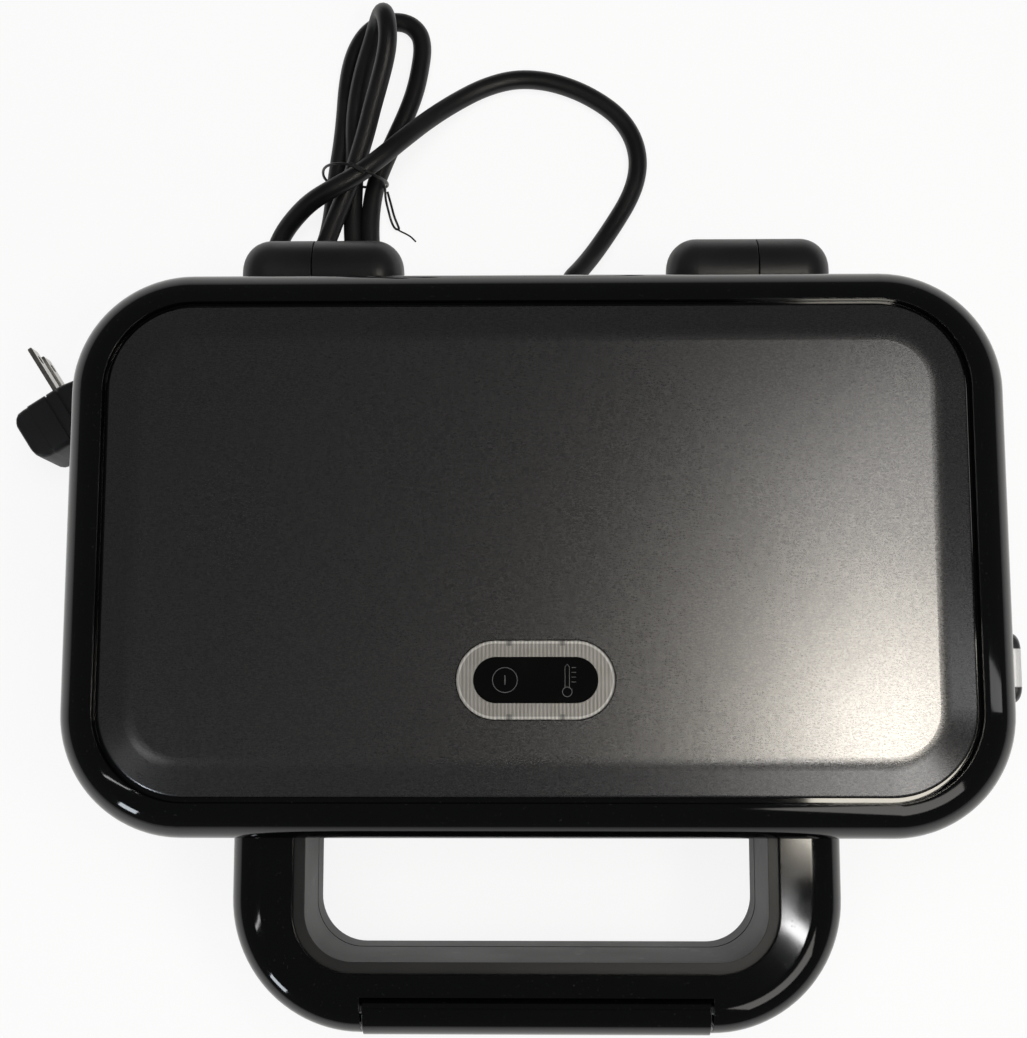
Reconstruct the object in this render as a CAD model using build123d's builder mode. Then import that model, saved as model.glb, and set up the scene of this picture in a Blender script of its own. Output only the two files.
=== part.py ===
from build123d import *
import math
import os

# Two-slice electric sandwich maker: a lid and a base that close on two removable
# non-stick plates. Millimetres, +Z up, the table at z = 0. Every piece is drawn in the
# housing's own frame (X to the right, Y to the back, the housing's centre at X = Y = 0)
# and is moved to the row frame, the centre of the whole footprint, when it is written.

os.makedirs("parts", exist_ok=True)

# ---------------------------------------------------------------- driving dimensions
# Housings
body_length = 268.0        # lid housing, left to right at its widest
body_depth = 161.0         # lid housing, front to back at its widest
body_corner = 35.0         # corner radius of that outline, from above
wall = 2.6
draft_angle = 4.7          # both housings narrow from their widest line
parting_z = 48.0           # height at which lid and base meet
parting_gap = 1.0
rim_top_z = 97.0
rim_round = 12.0           # round of the lid housing's upper edge
rim_band = 0.5             # straight band under that round
bottom_z = 5.0             # underside of the base housing
base_round = 9.0           # round of the base housing's lower edge
seat = 0.3                 # clearance between pieces that are fitted together

# Lid panel and its opening
roof_side = 11.8           # roof of the housing, from its widest line to the opening
roof_front = 10.3
opening_corner = 25.5
panel_gap = 1.5            # groove round the panel
panel_sheet = 0.8
panel_top_z = 99.8
panel_slope = 73.2         # slope of the pressed border, degrees from upright
panel_top_round = 12.0
panel_edge_round = 1.2
ledge_overlap = 4.0        # ledge under the housing's roof
ledge_thickness = 2.8
ledge_width = 6.0          # ledge under the panel's edge
ledge_corner = 26.0

# Indicator window
indicator_front = 31.9     # window's middle, in from the panel's front edge
bezel_length = 42.8
bezel_width = 20.8
bezel_flange = 3.8
bezel_flange_thickness = 1.5
bezel_inset = 0.3          # bezel's face below the panel's
lens_length = 34.1
lens_width = 12.5
lens_inset = 0.7
lens_flange = 2.2
lamp_offset = 8.7
lamp_radius = 2.6
lamp_height = 9.0
lamp_holder_depth = 14.0
lamp_holder_wall = 1.5

# Plate frames
frame_thickness = 5.0
plate_side = 18.5          # from the housing's widest line to the plate's ends
plate_front = 17.0         # and to its long edges
plate_corner = 12.0
plate_flange = 3.0
plate_clearance = 0.5      # plate in its frame
plate_meeting = 0.3        # between the two plates
lip_width = 4.0            # lip that the plate's flange lies on
lip_corner = 14.0
post_inset = 5.5           # screw posts, from the plate's ends and edges
post_radius = 4.0
sleeve_radius = 5.0
post_meeting = 26.0        # post's end, from the parting plane
screw_radius = 1.9
screw_hole = 2.05
screw_head_radius = 3.4
screw_head_height = 2.2
head_pocket_radius = 3.8
head_pocket_floor = 8.0
screw_reach = 12.0         # thread below the meeting of post and sleeve

# Cooking plates
well_side = 11.0           # rim of the plate, outside the wells
well_front = 9.5
well_corner = 16.0
well_sink = 15.0
well_wall = 3.0
well_slope = 32.0
well_floor = 2.5
middle_land = 4.5          # half the land between the wells
ridge_width = 12.0
ridge_below_face = 1.0
heel_y = 35.0              # fixed hooks at the plate's left end
heel_width = 20.0
heel_reach = 4.5
heel_height = 2.2
catch_y = -33.0            # spring catch at the right end
lug_width = 20.0
lug_thickness = 2.5
lug_foot = 2.7
lug_foot_height = 2.0
lug_inset = 4.0

# Catch slider, its guide, its spring and the release button
slider_thickness = 2.0
slider_width = 30.0
slider_nose = 3.2
catch_slack = 1.0          # slider's window past the lug, pressed home
slider_upright = 2.5
slider_upright_gap = 6.0   # from the plate's end
slider_level = 10.0        # slider's near face, from the parting plane
button_level = 20.0        # button's axis, from the parting plane
button_travel = 3.0
button_length = 20.6
button_height = 11.0
button_proud = 8.4
button_clearance = 0.4
button_flange = 2.0
guide_gap = 1.5            # from the lug
guide_length = 4.5
guide_wall = 2.5
guide_top = 2.2
spring_post = 2.0
spring_radius = 3.0
spring_wire = 0.6
spring_turns = 4
spring_gap = 0.1

# Heaters and reflectors
heater_radius = 3.3
heater_gap = 0.3           # element to plate
heater_side = 14.5         # from the wells' ends and edges
heater_front = 16.0
heater_corner = 20.0
heater_tail = 11.0         # straight ends past the loop
terminal_radius = 3.9
terminal_length = 9.0
terminal_pin_radius = 1.4
terminal_pin = 7.0
reflector_side = 8.5       # tray, from the plate's ends and edges
reflector_front = 6.0
reflector_corner = 12.0
reflector_sheet = 0.6
reflector_flange = 7.5
reflector_drop = 2.1       # element to reflector
clip_length = 8.0
clip_width = 13.0
clip_x = 55.0

# Hinges
hinge_behind = 8.8         # hinge line, behind the housing's widest line
hinge_z = 56.0
knuckle_radius = 11.0
knuckle_inner_x = 41.0
knuckle_split_x = 68.4
knuckle_outer_x = 91.0
knuckle_gap = 0.4
knuckle_end_round = 9.0
knuckle_clearance = 1.2
knuckle_arm_inset = 4.0
arm_root = 2.5             # arms reach this far into the housings
lid_arm_gap = 2.0
lid_arm_rise = 4.0
base_arm_drop = 12.5
base_arm_gap = 0.5
base_arm_overhang = 6.0
hinge_pin_radius = 2.5
hinge_tube_radius = 4.2
hinge_tube_bore = 2.8
pin_clearance = 0.05
pin_inner_x = 50.0
pin_outer_x = 86.0
tube_inner_x = 57.0        # the right-hand pin is a tube that the lid's lead runs through
tube_outer_x = 76.0
lead_radius = 2.2
lead_channel = 0.3
lead_bend = 5.0
lid_lead_x = 51.4          # where the lead turns into the lid and into the base
base_lead_x = 81.5
base_lead_z = 39.5

# Handle, in an upper and a lower half, and the latch
handle_width = 176.0
handle_reach = 56.3        # handle, in front of the housing's widest line
handle_corner = 38.0
grip_width = 132.0
grip_bar = 20.8            # front bar, front to back
grip_corner = 14.0
grip_top_z = 76.0
grip_bottom_z = 36.0
handle_run = 106.8         # front to back, the part inside the housings included
grip_run = 64.0
handle_wall = 2.6
handle_top_round = 10.0
handle_bottom_round = 6.0
liner_wall = 3.2
liner_below_top = 1.4
liner_plate = 2.6
tongue_x = 77.0
tongue_width = 14.0
tongue_thickness = 3.0
tongue_reach = 15.0
tongue_root = 11.0
handle_screw_inset = 12.5  # behind the housing's widest line
handle_screw_radius = 1.5
handle_screw_head = 3.0
latch_width = 98.6
latch_side_gap = 0.6
latch_thickness = 3.0
latch_pivot_inset = 7.9    # behind the handle's front
latch_pivot_z = 72.7
latch_knuckle = 2.9
latch_seat = 3.4
latch_pin_radius = 1.5
latch_hook_reach = 6.7
latch_hook_height = 3.4
latch_hook_gap = 0.7
latch_rest_angle = 5.5     # how far the clip rests out of its locked place
latch_cheek = 3.2
latch_bar_back = 7.0
lower_pocket = 4.3         # recess for the clip in the lower half

# Feet, cord outlet and what lies in the base
foot_side = 36.0           # from the housing's widest line
foot_front = 34.5
foot_radius = 10.0
foot_recess = 1.5
foot_round = 1.0
cable_tail = 12.0          # sheathed cable past the clamp
gland_x = 9.5
gland_z = 17.0
gland_length = 20.0
gland_root_radius = 5.6
gland_tip_radius = 4.2
gland_neck_radius = 4.2
gland_flange_radius = 5.2
gland_flange_thickness = 2.2
cord_radius = 3.25
clamp_inset = 18.5         # from the housing's widest line
clamp_length = 5.0
clamp_half_width = 10.0
clamp_strap = 1.2
clamp_screw_offset = 7.2
clamp_screw_radius = 1.2
clamp_screw_head = 2.2
clamp_screw_head_height = 1.4
block_x = -34.0
block_length = 26.0
block_width = 15.0
block_height = 9.0
block_hole = 1.8
fuse_radius = 2.1
fuse_length = 14.0
fuse_x = -20.0
fuse_y = -12.0
fuse_clip_length = 6.0
fuse_clip_reach = 7.0
fuse_clip_sheet = 0.8
thermostat_radius = 8.0
thermostat_height = 9.0
thermostat_flange = 12.0
thermostat_flange_thickness = 1.2
thermostat_y = 18.0
wire_radius = 1.3
wire_bend = 2.5
core_offset = 1.6          # cores of the mains cable
lower_wire_z = 12.0
upper_wire_z = 80.0
lower_wire_side = 6.5      # wires that go round the plates' ends
upper_wire_side = 7.5
lower_wire_x = -64.0
upper_wire_x = -60.0
upper_wire_spacing = 10.0
thermostat_port = 3.0
block_port = 4.0
line_port = 5.0
neutral_port = -2.0
core_straight = 4.0
fuse_wire_run = 20.0
lamp_wire_gap = 3.0
lamp_wire_run = 30.8       # lamps' wires, from the window's middle to where they close up
lid_lead_inset = 11.0      # the lead, inside the housings' rear walls
base_lead_inset = 12.5
lead_aside_x = 26.0
fuse_lead_z = 14.0

# Mains plug, lying at the left of the base
plug_corner_x = -174.7     # outer corner of the plug's face
plug_corner_y = 51.3
plug_turn = 33.0           # direction of the plug's face, degrees
plug_width = 34.0
plug_body_depth = 19.0
plug_height = 25.0
plug_round = 4.5
plug_edge = 2.0
plug_foot = 0.2
plug_groove = 0.7
plug_bands = (6.0, 13.0, 17.0)
blade_length = 17.5
blade_width = 6.35
blade_thickness = 1.5
blade_spacing = 12.7
blade_from_corner = 16.8
blade_root = 8.0

# Cord: hand-chosen points of its centre line
lead_route = [
    (11.4, 99.2, 15.2),
    (15.6, 104.4, 11.4),
    (20.0, 110.8, 7.4),
    (24.3, 117.6, 4.8),
    (28.8, 124.8, 3.6),
    (33.0, 132.0, 3.4),
    (35.8, 139.4, 3.3),
    (36.6, 147.2, 3.4),
    (34.6, 155.4, 3.3),
    (29.8, 162.6, 3.4),
    (22.8, 168.2, 3.3),
    (14.2, 172.9, 3.3),
    (4.0, 176.1, 3.4),
    (-7.0, 176.8, 3.4),
    (-17.8, 173.6, 3.9),
    (-28.0, 167.4, 5.6),
    (-37.6, 159.2, 9.6),
    (-46.2, 150.0, 14.4),
    (-54.0, 141.8, 17.6),
    (-62.0, 135.4, 18.4),
    (-70.0, 131.2, 18.0),
    (-77.0, 128.0, 15.2),
    (-83.0, 123.9, 11.0),
    (-88.2, 118.8, 7.0),
    (-91.8, 111.4, 4.2),
    (-93.4, 103.4, 3.3),
]
tail_route = [
    (-86.0, 96.8, 10.0),
    (-93.6, 92.2, 9.0),
    (-101.6, 88.4, 6.2),
    (-110.0, 85.0, 4.0),
    (-118.5, 80.8, 4.0),
    (-126.2, 75.4, 6.0),
    (-133.6, 68.6, 9.6),
]
hank_bottom_z = 0.1
hank_top_z = 14.2
hank_outline = [
    (-73.4, 138.0),
    (-72.8, 152.0),
    (-72.4, 166.0),
    (-71.2, 179.0),
    (-67.0, 190.6),
    (-61.6, 198.6),
    (-54.6, 203.2),
    (-46.6, 203.0),
    (-39.4, 198.4),
    (-35.4, 190.0),
    (-36.6, 177.0),
    (-41.6, 163.6),
    (-48.4, 148.6),
    (-52.2, 138.0),
    (-53.4, 124.0),
    (-52.6, 108.0),
    (-52.4, 94.0),
    (-57.4, 84.0),
    (-67.0, 79.0),
    (-80.0, 78.8),
    (-90.6, 83.4),
    (-96.6, 93.4),
    (-97.0, 106.0),
    (-88.0, 112.0),
    (-79.6, 114.0),
    (-75.6, 124.0),
]
tie_y = 138.4
tie_low_x = -74.4
tie_high_x = -50.8
tie_width = 3.0
tie_sheet = 0.9
tie_top_z = 22.9
tie_bottom_z = 0.02
tie_corner = 5.0
hank_corner = 3.0
arc_share = 0.45           # corner arcs of the cord, as a share of the shorter run
arc_limit = 60.0

# ------------------------------------------------------------- sizes worked out
lid_edge_z = parting_z + parting_gap / 2
base_edge_z = parting_z - parting_gap / 2
widest_z = rim_top_z - rim_round - rim_band
draft = math.tan(math.radians(draft_angle))
edge_length = body_length - 2 * (widest_z - lid_edge_z) * draft
edge_depth = body_depth - 2 * (widest_z - lid_edge_z) * draft
edge_corner = body_corner - (widest_z - lid_edge_z) * draft
opening_length = body_length - 2 * roof_side
opening_depth = body_depth - 2 * roof_front
ledge_top_z = rim_top_z - wall
ledge_inner_length = opening_length - 2 * (panel_gap + ledge_width)
ledge_inner_depth = opening_depth - 2 * (panel_gap + ledge_width)
panel_length = opening_length - 2 * panel_gap
panel_depth = opening_depth - 2 * panel_gap
panel_corner = opening_corner - panel_gap
indicator_y = indicator_front - panel_depth / 2
floor_z = bottom_z + wall
plate_length = body_length - 2 * plate_side
plate_depth = body_depth - 2 * plate_front
well_length = plate_length / 2 - well_side - middle_land
well_depth = plate_depth - 2 * well_front
post_x = plate_length / 2 - post_inset
post_y = plate_depth / 2 - post_inset
lug_outer_x = plate_length / 2 - lug_inset
guide_x = lug_outer_x + guide_gap
slider_upright_x = plate_length / 2 + slider_upright_gap
heater_half_length = middle_land + well_length - heater_side
heater_half_depth = well_depth / 2 - heater_front
block_y = heater_half_depth - block_port
heater_end_x = -heater_half_length - heater_tail
reflector_length = plate_length - 2 * reflector_side
reflector_depth = plate_depth - 2 * reflector_front
foot_x = body_length / 2 - foot_side
foot_y = body_depth / 2 - foot_front
clamp_y = body_depth / 2 - clamp_inset
cable_end_y = clamp_y - cable_tail
hinge_y = body_depth / 2 + hinge_behind
handle_front_y = -body_depth / 2 - handle_reach
grip_front_y = handle_front_y + grip_bar
handle_rear_y = handle_front_y + handle_run
grip_rear_y = grip_front_y + grip_run
handle_screw_y = handle_screw_inset - body_depth / 2
# Heights above the parting plane, the same in the lid and (mirrored) in the base
frame_near = parting_gap / 2
frame_far = frame_near + frame_thickness
frame_inset = wall + seat + frame_thickness * draft
flange_near = plate_meeting / 2
flange_far = flange_near + plate_flange
well_far = flange_near + well_sink + well_floor
lug_far = slider_level + slider_thickness + seat + lug_foot_height
heater_level = well_far + heater_gap + heater_radius
reflector_near = heater_level + heater_radius + reflector_drop
reflector_far = reflector_near + reflector_sheet
fuse_top_z = parting_z - reflector_far
fuse_z = fuse_top_z - seat - fuse_radius
latch_pivot_y = handle_front_y + latch_pivot_inset
lower_pocket_y = handle_front_y + lower_pocket
latch_swing = math.radians(latch_rest_angle)
latch_inner = latch_pivot_y - (handle_front_y + latch_thickness)
latch_outer = latch_pivot_y - handle_front_y
latch_toe = latch_pivot_z - grip_bottom_z + latch_hook_gap + latch_hook_height
latch_front_y = (latch_pivot_y - latch_outer * math.cos(latch_swing)
                 - latch_toe * math.sin(latch_swing))
tip_x = body_length / 2 - (widest_z - parting_z - button_level) * draft + button_proud

# Each knuckle's arm: from and to in X (as distances from the middle), its heights, its rear
arm_front_y = edge_depth / 2 - wall - arm_root
lid_knuckle_to = knuckle_split_x - knuckle_gap / 2
base_knuckle_from = knuckle_split_x + knuckle_gap / 2
lid_arm = (lid_edge_z + lid_arm_gap, hinge_z + lid_arm_rise, hinge_y)
base_arm = (base_edge_z - base_arm_drop, base_edge_z - base_arm_gap, hinge_y + base_arm_overhang)

# The lead between base and lid, in two stretches that meet inside the tubular hinge pin
lead_split_x = (tube_inner_x + tube_outer_x) / 2
lid_lead_route = [
    (lead_split_x, hinge_y, hinge_z),
    (lid_lead_x, hinge_y, hinge_z),
    (lid_lead_x, body_depth / 2 - lid_lead_inset, hinge_z),
    (lid_lead_x, body_depth / 2 - lid_lead_inset, upper_wire_z),
    (lid_lead_x, thermostat_y, upper_wire_z),
    (thermostat_radius + seat, thermostat_y, upper_wire_z),
]
base_lead_route = [
    (lead_split_x, hinge_y, hinge_z),
    (base_lead_x, hinge_y, hinge_z),
    (base_lead_x, hinge_y, base_lead_z),
    (base_lead_x, body_depth / 2 - base_lead_inset, base_lead_z),
    (base_lead_x, body_depth / 2 - base_lead_inset, lower_wire_z),
    (lead_aside_x, body_depth / 2 - base_lead_inset, lower_wire_z),
    (lead_aside_x, fuse_y, fuse_lead_z),
    (fuse_x + fuse_length / 2 + seat, fuse_y, fuse_z),
]

# Row frame: the middle of the footprint, the cord left out
row_x = (tip_x - body_length / 2) / 2
row_y = (hinge_y + knuckle_radius + latch_front_y) / 2


def save(piece, name):
    """Labels a finished piece, moves it to the row frame and writes its STEP file."""
    placed = piece.moved(Location((-row_x, -row_y, 0)))
    placed.label = name
    export_step(placed, f"parts/{name}.step")


def above(height):
    """A level plane, at a height above the parting plane."""
    return Plane.XY.offset(parting_z + height)


def in_base(piece):
    """The base's copy of a piece made for the lid: its mirror image in the parting plane."""
    return mirror(piece, about=Plane.XY.offset(parting_z), mode=Mode.PRIVATE)


def four_corners(x, y):
    return [(sx * x, sy * y) for sx in (-1, 1) for sy in (-1, 1)]


def wire(route, radius, bend):
    """A round wire or tube along a route, every corner rounded by the same bend."""
    with BuildPart() as tube:
        with BuildLine() as line:
            FilletPolyline(*route, radius=bend)
        with BuildSketch(Plane(line.line @ 0, z_dir=line.line % 0)):
            Circle(radius)
        sweep(path=line.line)
    return tube.part


def lid_form(inset):
    """The lid housing's outer form, drawn in by inset."""
    with BuildPart() as form:
        with BuildSketch(Plane((0, 0, widest_z), z_dir=(0, 0, -1))):
            RectangleRounded(body_length - 2 * inset, body_depth - 2 * inset, body_corner - inset)
        extrude(amount=widest_z - lid_edge_z, taper=draft_angle)
        with BuildSketch(Plane.XY.offset(widest_z)):
            RectangleRounded(body_length - 2 * inset, body_depth - 2 * inset, body_corner - inset)
        extrude(amount=rim_top_z - inset - widest_z)
        fillet(form.edges().group_by(Axis.Z)[-1], rim_round - inset)
    return form.part


def base_form(inset):
    """The base housing's outer form, drawn in by inset."""
    with BuildPart() as form:
        with BuildSketch(Plane((0, 0, base_edge_z), z_dir=(0, 0, -1))):
            RectangleRounded(edge_length - 2 * inset, edge_depth - 2 * inset, edge_corner - inset)
        extrude(amount=base_edge_z - bottom_z - inset, taper=draft_angle)
        fillet(form.edges().group_by(Axis.Z)[0], base_round - inset)
    return form.part


def panel_form(inset):
    """The lid panel's form: an upright edge, a sloping border and a flat top."""
    shoulder = rim_top_z - inset / 2
    with BuildPart() as form:
        with BuildSketch(Plane.XY.offset(ledge_top_z)):
            RectangleRounded(panel_length - 2 * inset, panel_depth - 2 * inset, panel_corner - inset)
        extrude(amount=shoulder - ledge_top_z)
        with BuildSketch(Plane.XY.offset(shoulder)):
            RectangleRounded(panel_length - 2 * inset, panel_depth - 2 * inset, panel_corner - inset)
        extrude(amount=panel_top_z - inset - shoulder, taper=panel_slope)
        fillet(form.edges().group_by(Axis.Z)[-1], panel_top_round)
        rim = form.edges().filter_by(lambda e: abs(e.center().Z - shoulder) < 0.01)
        fillet(rim, panel_edge_round)
    return form.part


def button_outline(grow):
    """The release button's end view, as a sketch made on the plane in use."""
    return SlotOverall(button_length + 2 * grow, button_height + 2 * grow)


def side_plane(x, height):
    """An upright plane at x, facing right, centred on the catch at that height."""
    return Plane((x, catch_y, height), x_dir=(0, 1, 0), z_dir=(1, 0, 0))


# ------------------------------------------------------------------ plate and frame
def cook_plate():
    """The lid's removable plate: flange, two sunk wells with ridges, hooks and catch lug."""
    well_x = middle_land + well_length / 2
    with BuildPart() as plate:
        with BuildSketch(above(flange_near)):
            RectangleRounded(plate_length, plate_depth, plate_corner)
        extrude(amount=plate_flange)
        with BuildSketch(above(flange_near)):
            with Locations((-well_x, 0), (well_x, 0)):
                RectangleRounded(well_length + 2 * well_wall, well_depth + 2 * well_wall,
                                 well_corner + well_wall)
        extrude(amount=well_sink + well_floor, taper=well_slope)
        with BuildSketch(above(flange_near)):
            with Locations((-well_x, 0), (well_x, 0)):
                RectangleRounded(well_length, well_depth, well_corner)
        extrude(amount=well_sink, taper=well_slope, mode=Mode.SUBTRACT)
    ridges = []
    for side in (-1, 1):
        turn = math.atan2(side * well_depth, well_length)
        along = Vector(math.cos(turn), math.sin(turn), 0)
        run = math.hypot(well_length, well_depth)
        start = Vector(side * well_x, 0, parting_z + flange_near) - along * (run / 2)
        with BuildPart() as ridge:
            with BuildSketch(above(flange_near)):
                with Locations((side * well_x, 0)):
                    RectangleRounded(well_length, well_depth, well_corner)
            extrude(amount=well_sink + well_floor / 2, taper=well_slope)
            with BuildSketch(Plane(start, x_dir=(0, 0, 1), z_dir=along)):
                with BuildLine():
                    Polyline((ridge_below_face, 0), (well_sink + well_floor, ridge_width / 2),
                             (well_sink + well_floor, -ridge_width / 2), close=True)
                make_face()
            extrude(amount=run, mode=Mode.INTERSECT)
        ridges.append(ridge.part)
    with BuildPart() as whole:
        add(plate.part)
        add(ridges)
        # Hooks that slip over the frame's lip at the left end
        with BuildSketch(above(flange_far)):
            with Locations((-lug_outer_x + lug_thickness / 2, -heel_y),
                           (-lug_outer_x + lug_thickness / 2, heel_y)):
                Rectangle(lug_thickness, heel_width)
        extrude(amount=frame_far + seat + heel_height - flange_far)
        with BuildSketch(above(frame_far + seat)):
            with Locations((-lug_outer_x - heel_reach / 2, -heel_y),
                           (-lug_outer_x - heel_reach / 2, heel_y)):
                Rectangle(heel_reach, heel_width)
        extrude(amount=heel_height)
        # Catch lug at the right end, its foot turned inwards over the slider's nose
        with BuildSketch(above(flange_far)):
            with Locations((lug_outer_x - lug_thickness / 2, catch_y)):
                Rectangle(lug_thickness, lug_width)
        extrude(amount=lug_far - flange_far)
        with BuildSketch(above(lug_far - lug_foot_height)):
            with Locations((lug_outer_x - lug_thickness - lug_foot / 2, catch_y)):
                Rectangle(lug_foot, lug_width)
        extrude(amount=lug_foot_height)
    return whole.part


def frame_core():
    """The lid's plate frame without its knuckles: ring, lip, posts and catch guide."""
    guide_half = slider_width / 2 + seat + guide_wall
    slot_near = slider_level - seat
    slot_far = slider_level + slider_thickness + seat
    with BuildPart() as core:
        with BuildSketch(above(frame_near)):
            RectangleRounded(edge_length - 2 * frame_inset, edge_depth - 2 * frame_inset,
                             edge_corner - frame_inset)
        extrude(amount=frame_thickness)
        with BuildSketch(above(frame_near)):
            RectangleRounded(plate_length + 2 * plate_clearance, plate_depth + 2 * plate_clearance,
                             plate_corner + plate_clearance)
        extrude(amount=flange_far - frame_near, mode=Mode.SUBTRACT)
        with BuildSketch(above(frame_near)):
            RectangleRounded(plate_length + 2 * plate_clearance - 2 * lip_width,
                             plate_depth + 2 * plate_clearance - 2 * lip_width, lip_corner)
        extrude(amount=frame_thickness, mode=Mode.SUBTRACT)
        with BuildSketch(above(frame_far)):
            with Locations(*four_corners(post_x, post_y)):
                Circle(post_radius)
        extrude(amount=post_meeting - frame_far)
        with BuildSketch(above(post_meeting - screw_reach)):
            with Locations(*four_corners(post_x, post_y)):
                Circle(screw_hole)
        extrude(amount=screw_reach, mode=Mode.SUBTRACT)
        # Guide that the catch slider runs in, with the spring's stop on top
        with BuildSketch(above(frame_far)):
            with Locations((guide_x + guide_length / 2, catch_y)):
                Rectangle(guide_length, 2 * guide_half)
        extrude(amount=slot_far + guide_top - frame_far)
        with BuildSketch(above(slot_near)):
            with Locations((guide_x + guide_length / 2, catch_y)):
                Rectangle(guide_length, slider_width + 2 * seat)
        extrude(amount=slot_far - slot_near, mode=Mode.SUBTRACT)
        with BuildSketch(above(slot_far)):
            with Locations((guide_x + spring_post / 2, catch_y)):
                Rectangle(spring_post, 2 * (spring_radius + guide_wall))
        extrude(amount=button_level + spring_radius + guide_wall - slot_far)
        # Screw holes for the handle's tongues
        with BuildSketch(above(frame_near)):
            with Locations((-tongue_x, handle_screw_y), (tongue_x, handle_screw_y)):
                Circle(handle_screw_radius + pin_clearance)
        extrude(amount=frame_thickness, mode=Mode.SUBTRACT)
    return core.part


def arm_outline(low, high, rear, grow):
    """A knuckle arm's side view, from inside the housing to the barrel, made a little larger."""
    with Locations(((arm_front_y + rear) / 2, (low + high) / 2)):
        Rectangle(rear - arm_front_y + 2 * grow, high - low + 2 * grow)


def knuckle(near_x, far_x, round_x, arm_low, arm_high, arm_rear):
    """A pair of hinge knuckles between two distances from the middle, rounded at round_x."""
    with BuildPart() as pair:
        for side in (-1, 1):
            ends = sorted((side * near_x, side * far_x))
            with BuildSketch(Plane((ends[0], 0, 0), x_dir=(0, 1, 0), z_dir=(1, 0, 0))):
                with Locations((hinge_y, hinge_z)):
                    Circle(knuckle_radius)
            extrude(amount=ends[1] - ends[0])
        rims = pair.edges().filter_by(GeomType.CIRCLE)
        rims = rims.filter_by(lambda e: abs(abs(e.center().X) - round_x) < 0.01)
        fillet(rims, knuckle_end_round)
        for side in (-1, 1):
            inset = knuckle_arm_inset
            low_x = near_x + (inset if round_x == near_x else 0)
            high_x = far_x - (inset if round_x == far_x else 0)
            ends = sorted((side * low_x, side * high_x))
            with BuildSketch(Plane((ends[0], 0, 0), x_dir=(0, 1, 0), z_dir=(1, 0, 0))):
                arm_outline(arm_low, arm_high, arm_rear, 0)
            extrude(amount=ends[1] - ends[0])
        for start_x, end_x, radius in ((-pin_outer_x, -pin_inner_x, hinge_pin_radius),
                                       (tube_inner_x, tube_outer_x, hinge_tube_radius)):
            with BuildSketch(Plane((start_x, 0, 0), x_dir=(0, 1, 0), z_dir=(1, 0, 0))):
                with Locations((hinge_y, hinge_z)):
                    Circle(radius + pin_clearance)
            extrude(amount=end_x - start_x, mode=Mode.SUBTRACT)
        for route in (lid_lead_route, base_lead_route):
            add(wire(route[:4], lead_radius + lead_channel, lead_bend), mode=Mode.SUBTRACT)
    return pair.part


# ------------------------------------------------------------------------ housings
def knuckle_clear(arm_from, arm_to, arm_low, arm_high, arm_rear):
    """What a housing's rear wall is cut by: room round the barrels, and for its own arm."""
    with BuildPart() as cut:
        for side in (-1, 1):
            ends = sorted((side * (knuckle_inner_x - knuckle_clearance),
                           side * (knuckle_outer_x + knuckle_clearance)))
            with BuildSketch(Plane((ends[0], 0, 0), x_dir=(0, 1, 0), z_dir=(1, 0, 0))):
                with Locations((hinge_y, hinge_z)):
                    Circle(knuckle_radius + knuckle_clearance)
            extrude(amount=ends[1] - ends[0])
            ends = sorted((side * (arm_from - seat), side * (arm_to + seat)))
            with BuildSketch(Plane((ends[0], 0, 0), x_dir=(0, 1, 0), z_dir=(1, 0, 0))):
                arm_outline(arm_low, arm_high, arm_rear, seat)
            extrude(amount=ends[1] - ends[0])
    return cut.part


def tongue_slots(near, far):
    """Slots in a housing's front wall for the handle's tongues, heights above the parting."""
    with BuildPart() as slots:
        with BuildSketch(above(near - seat)):
            with Locations((-tongue_x, -edge_depth / 2), (tongue_x, -edge_depth / 2)):
                Rectangle(tongue_width + 2 * seat, 4 * wall)
        extrude(amount=far - near + 2 * seat)
    return slots.part


with BuildPart() as upper_housing:
    add(lid_form(0))
    add(lid_form(wall), mode=Mode.SUBTRACT)
    with BuildSketch(Plane.XY.offset(rim_top_z)):
        RectangleRounded(opening_length, opening_depth, opening_corner)
    extrude(amount=-wall, mode=Mode.SUBTRACT)
    with BuildSketch(Plane.XY.offset(ledge_top_z)):
        RectangleRounded(opening_length + 2 * ledge_overlap, opening_depth + 2 * ledge_overlap,
                         opening_corner + ledge_overlap)
        RectangleRounded(ledge_inner_length, ledge_inner_depth, ledge_corner, mode=Mode.SUBTRACT)
    extrude(amount=-ledge_thickness)
    with BuildSketch(above(post_meeting)):
        with Locations(*four_corners(post_x, post_y)):
            Circle(sleeve_radius)
    extrude(amount=ledge_top_z - parting_z - post_meeting)
    with BuildSketch(above(post_meeting)):
        with Locations(*four_corners(post_x, post_y)):
            Circle(screw_hole)
    extrude(amount=ledge_top_z - parting_z - post_meeting, mode=Mode.SUBTRACT)
    with BuildSketch(Plane.XY.offset(ledge_top_z)):
        with Locations(*four_corners(post_x, post_y)):
            Circle(head_pocket_radius)
    extrude(amount=-ledge_thickness, mode=Mode.SUBTRACT)
    with BuildSketch(side_plane(body_length / 2 - 4 * wall, parting_z + button_level)):
        button_outline(button_clearance)
    extrude(amount=5 * wall, mode=Mode.SUBTRACT)
    add(knuckle_clear(knuckle_inner_x + knuckle_arm_inset, lid_knuckle_to, *lid_arm),
        mode=Mode.SUBTRACT)
    add(tongue_slots(frame_far, frame_far + tongue_thickness), mode=Mode.SUBTRACT)
save(upper_housing.part, "upper_housing")

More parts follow.
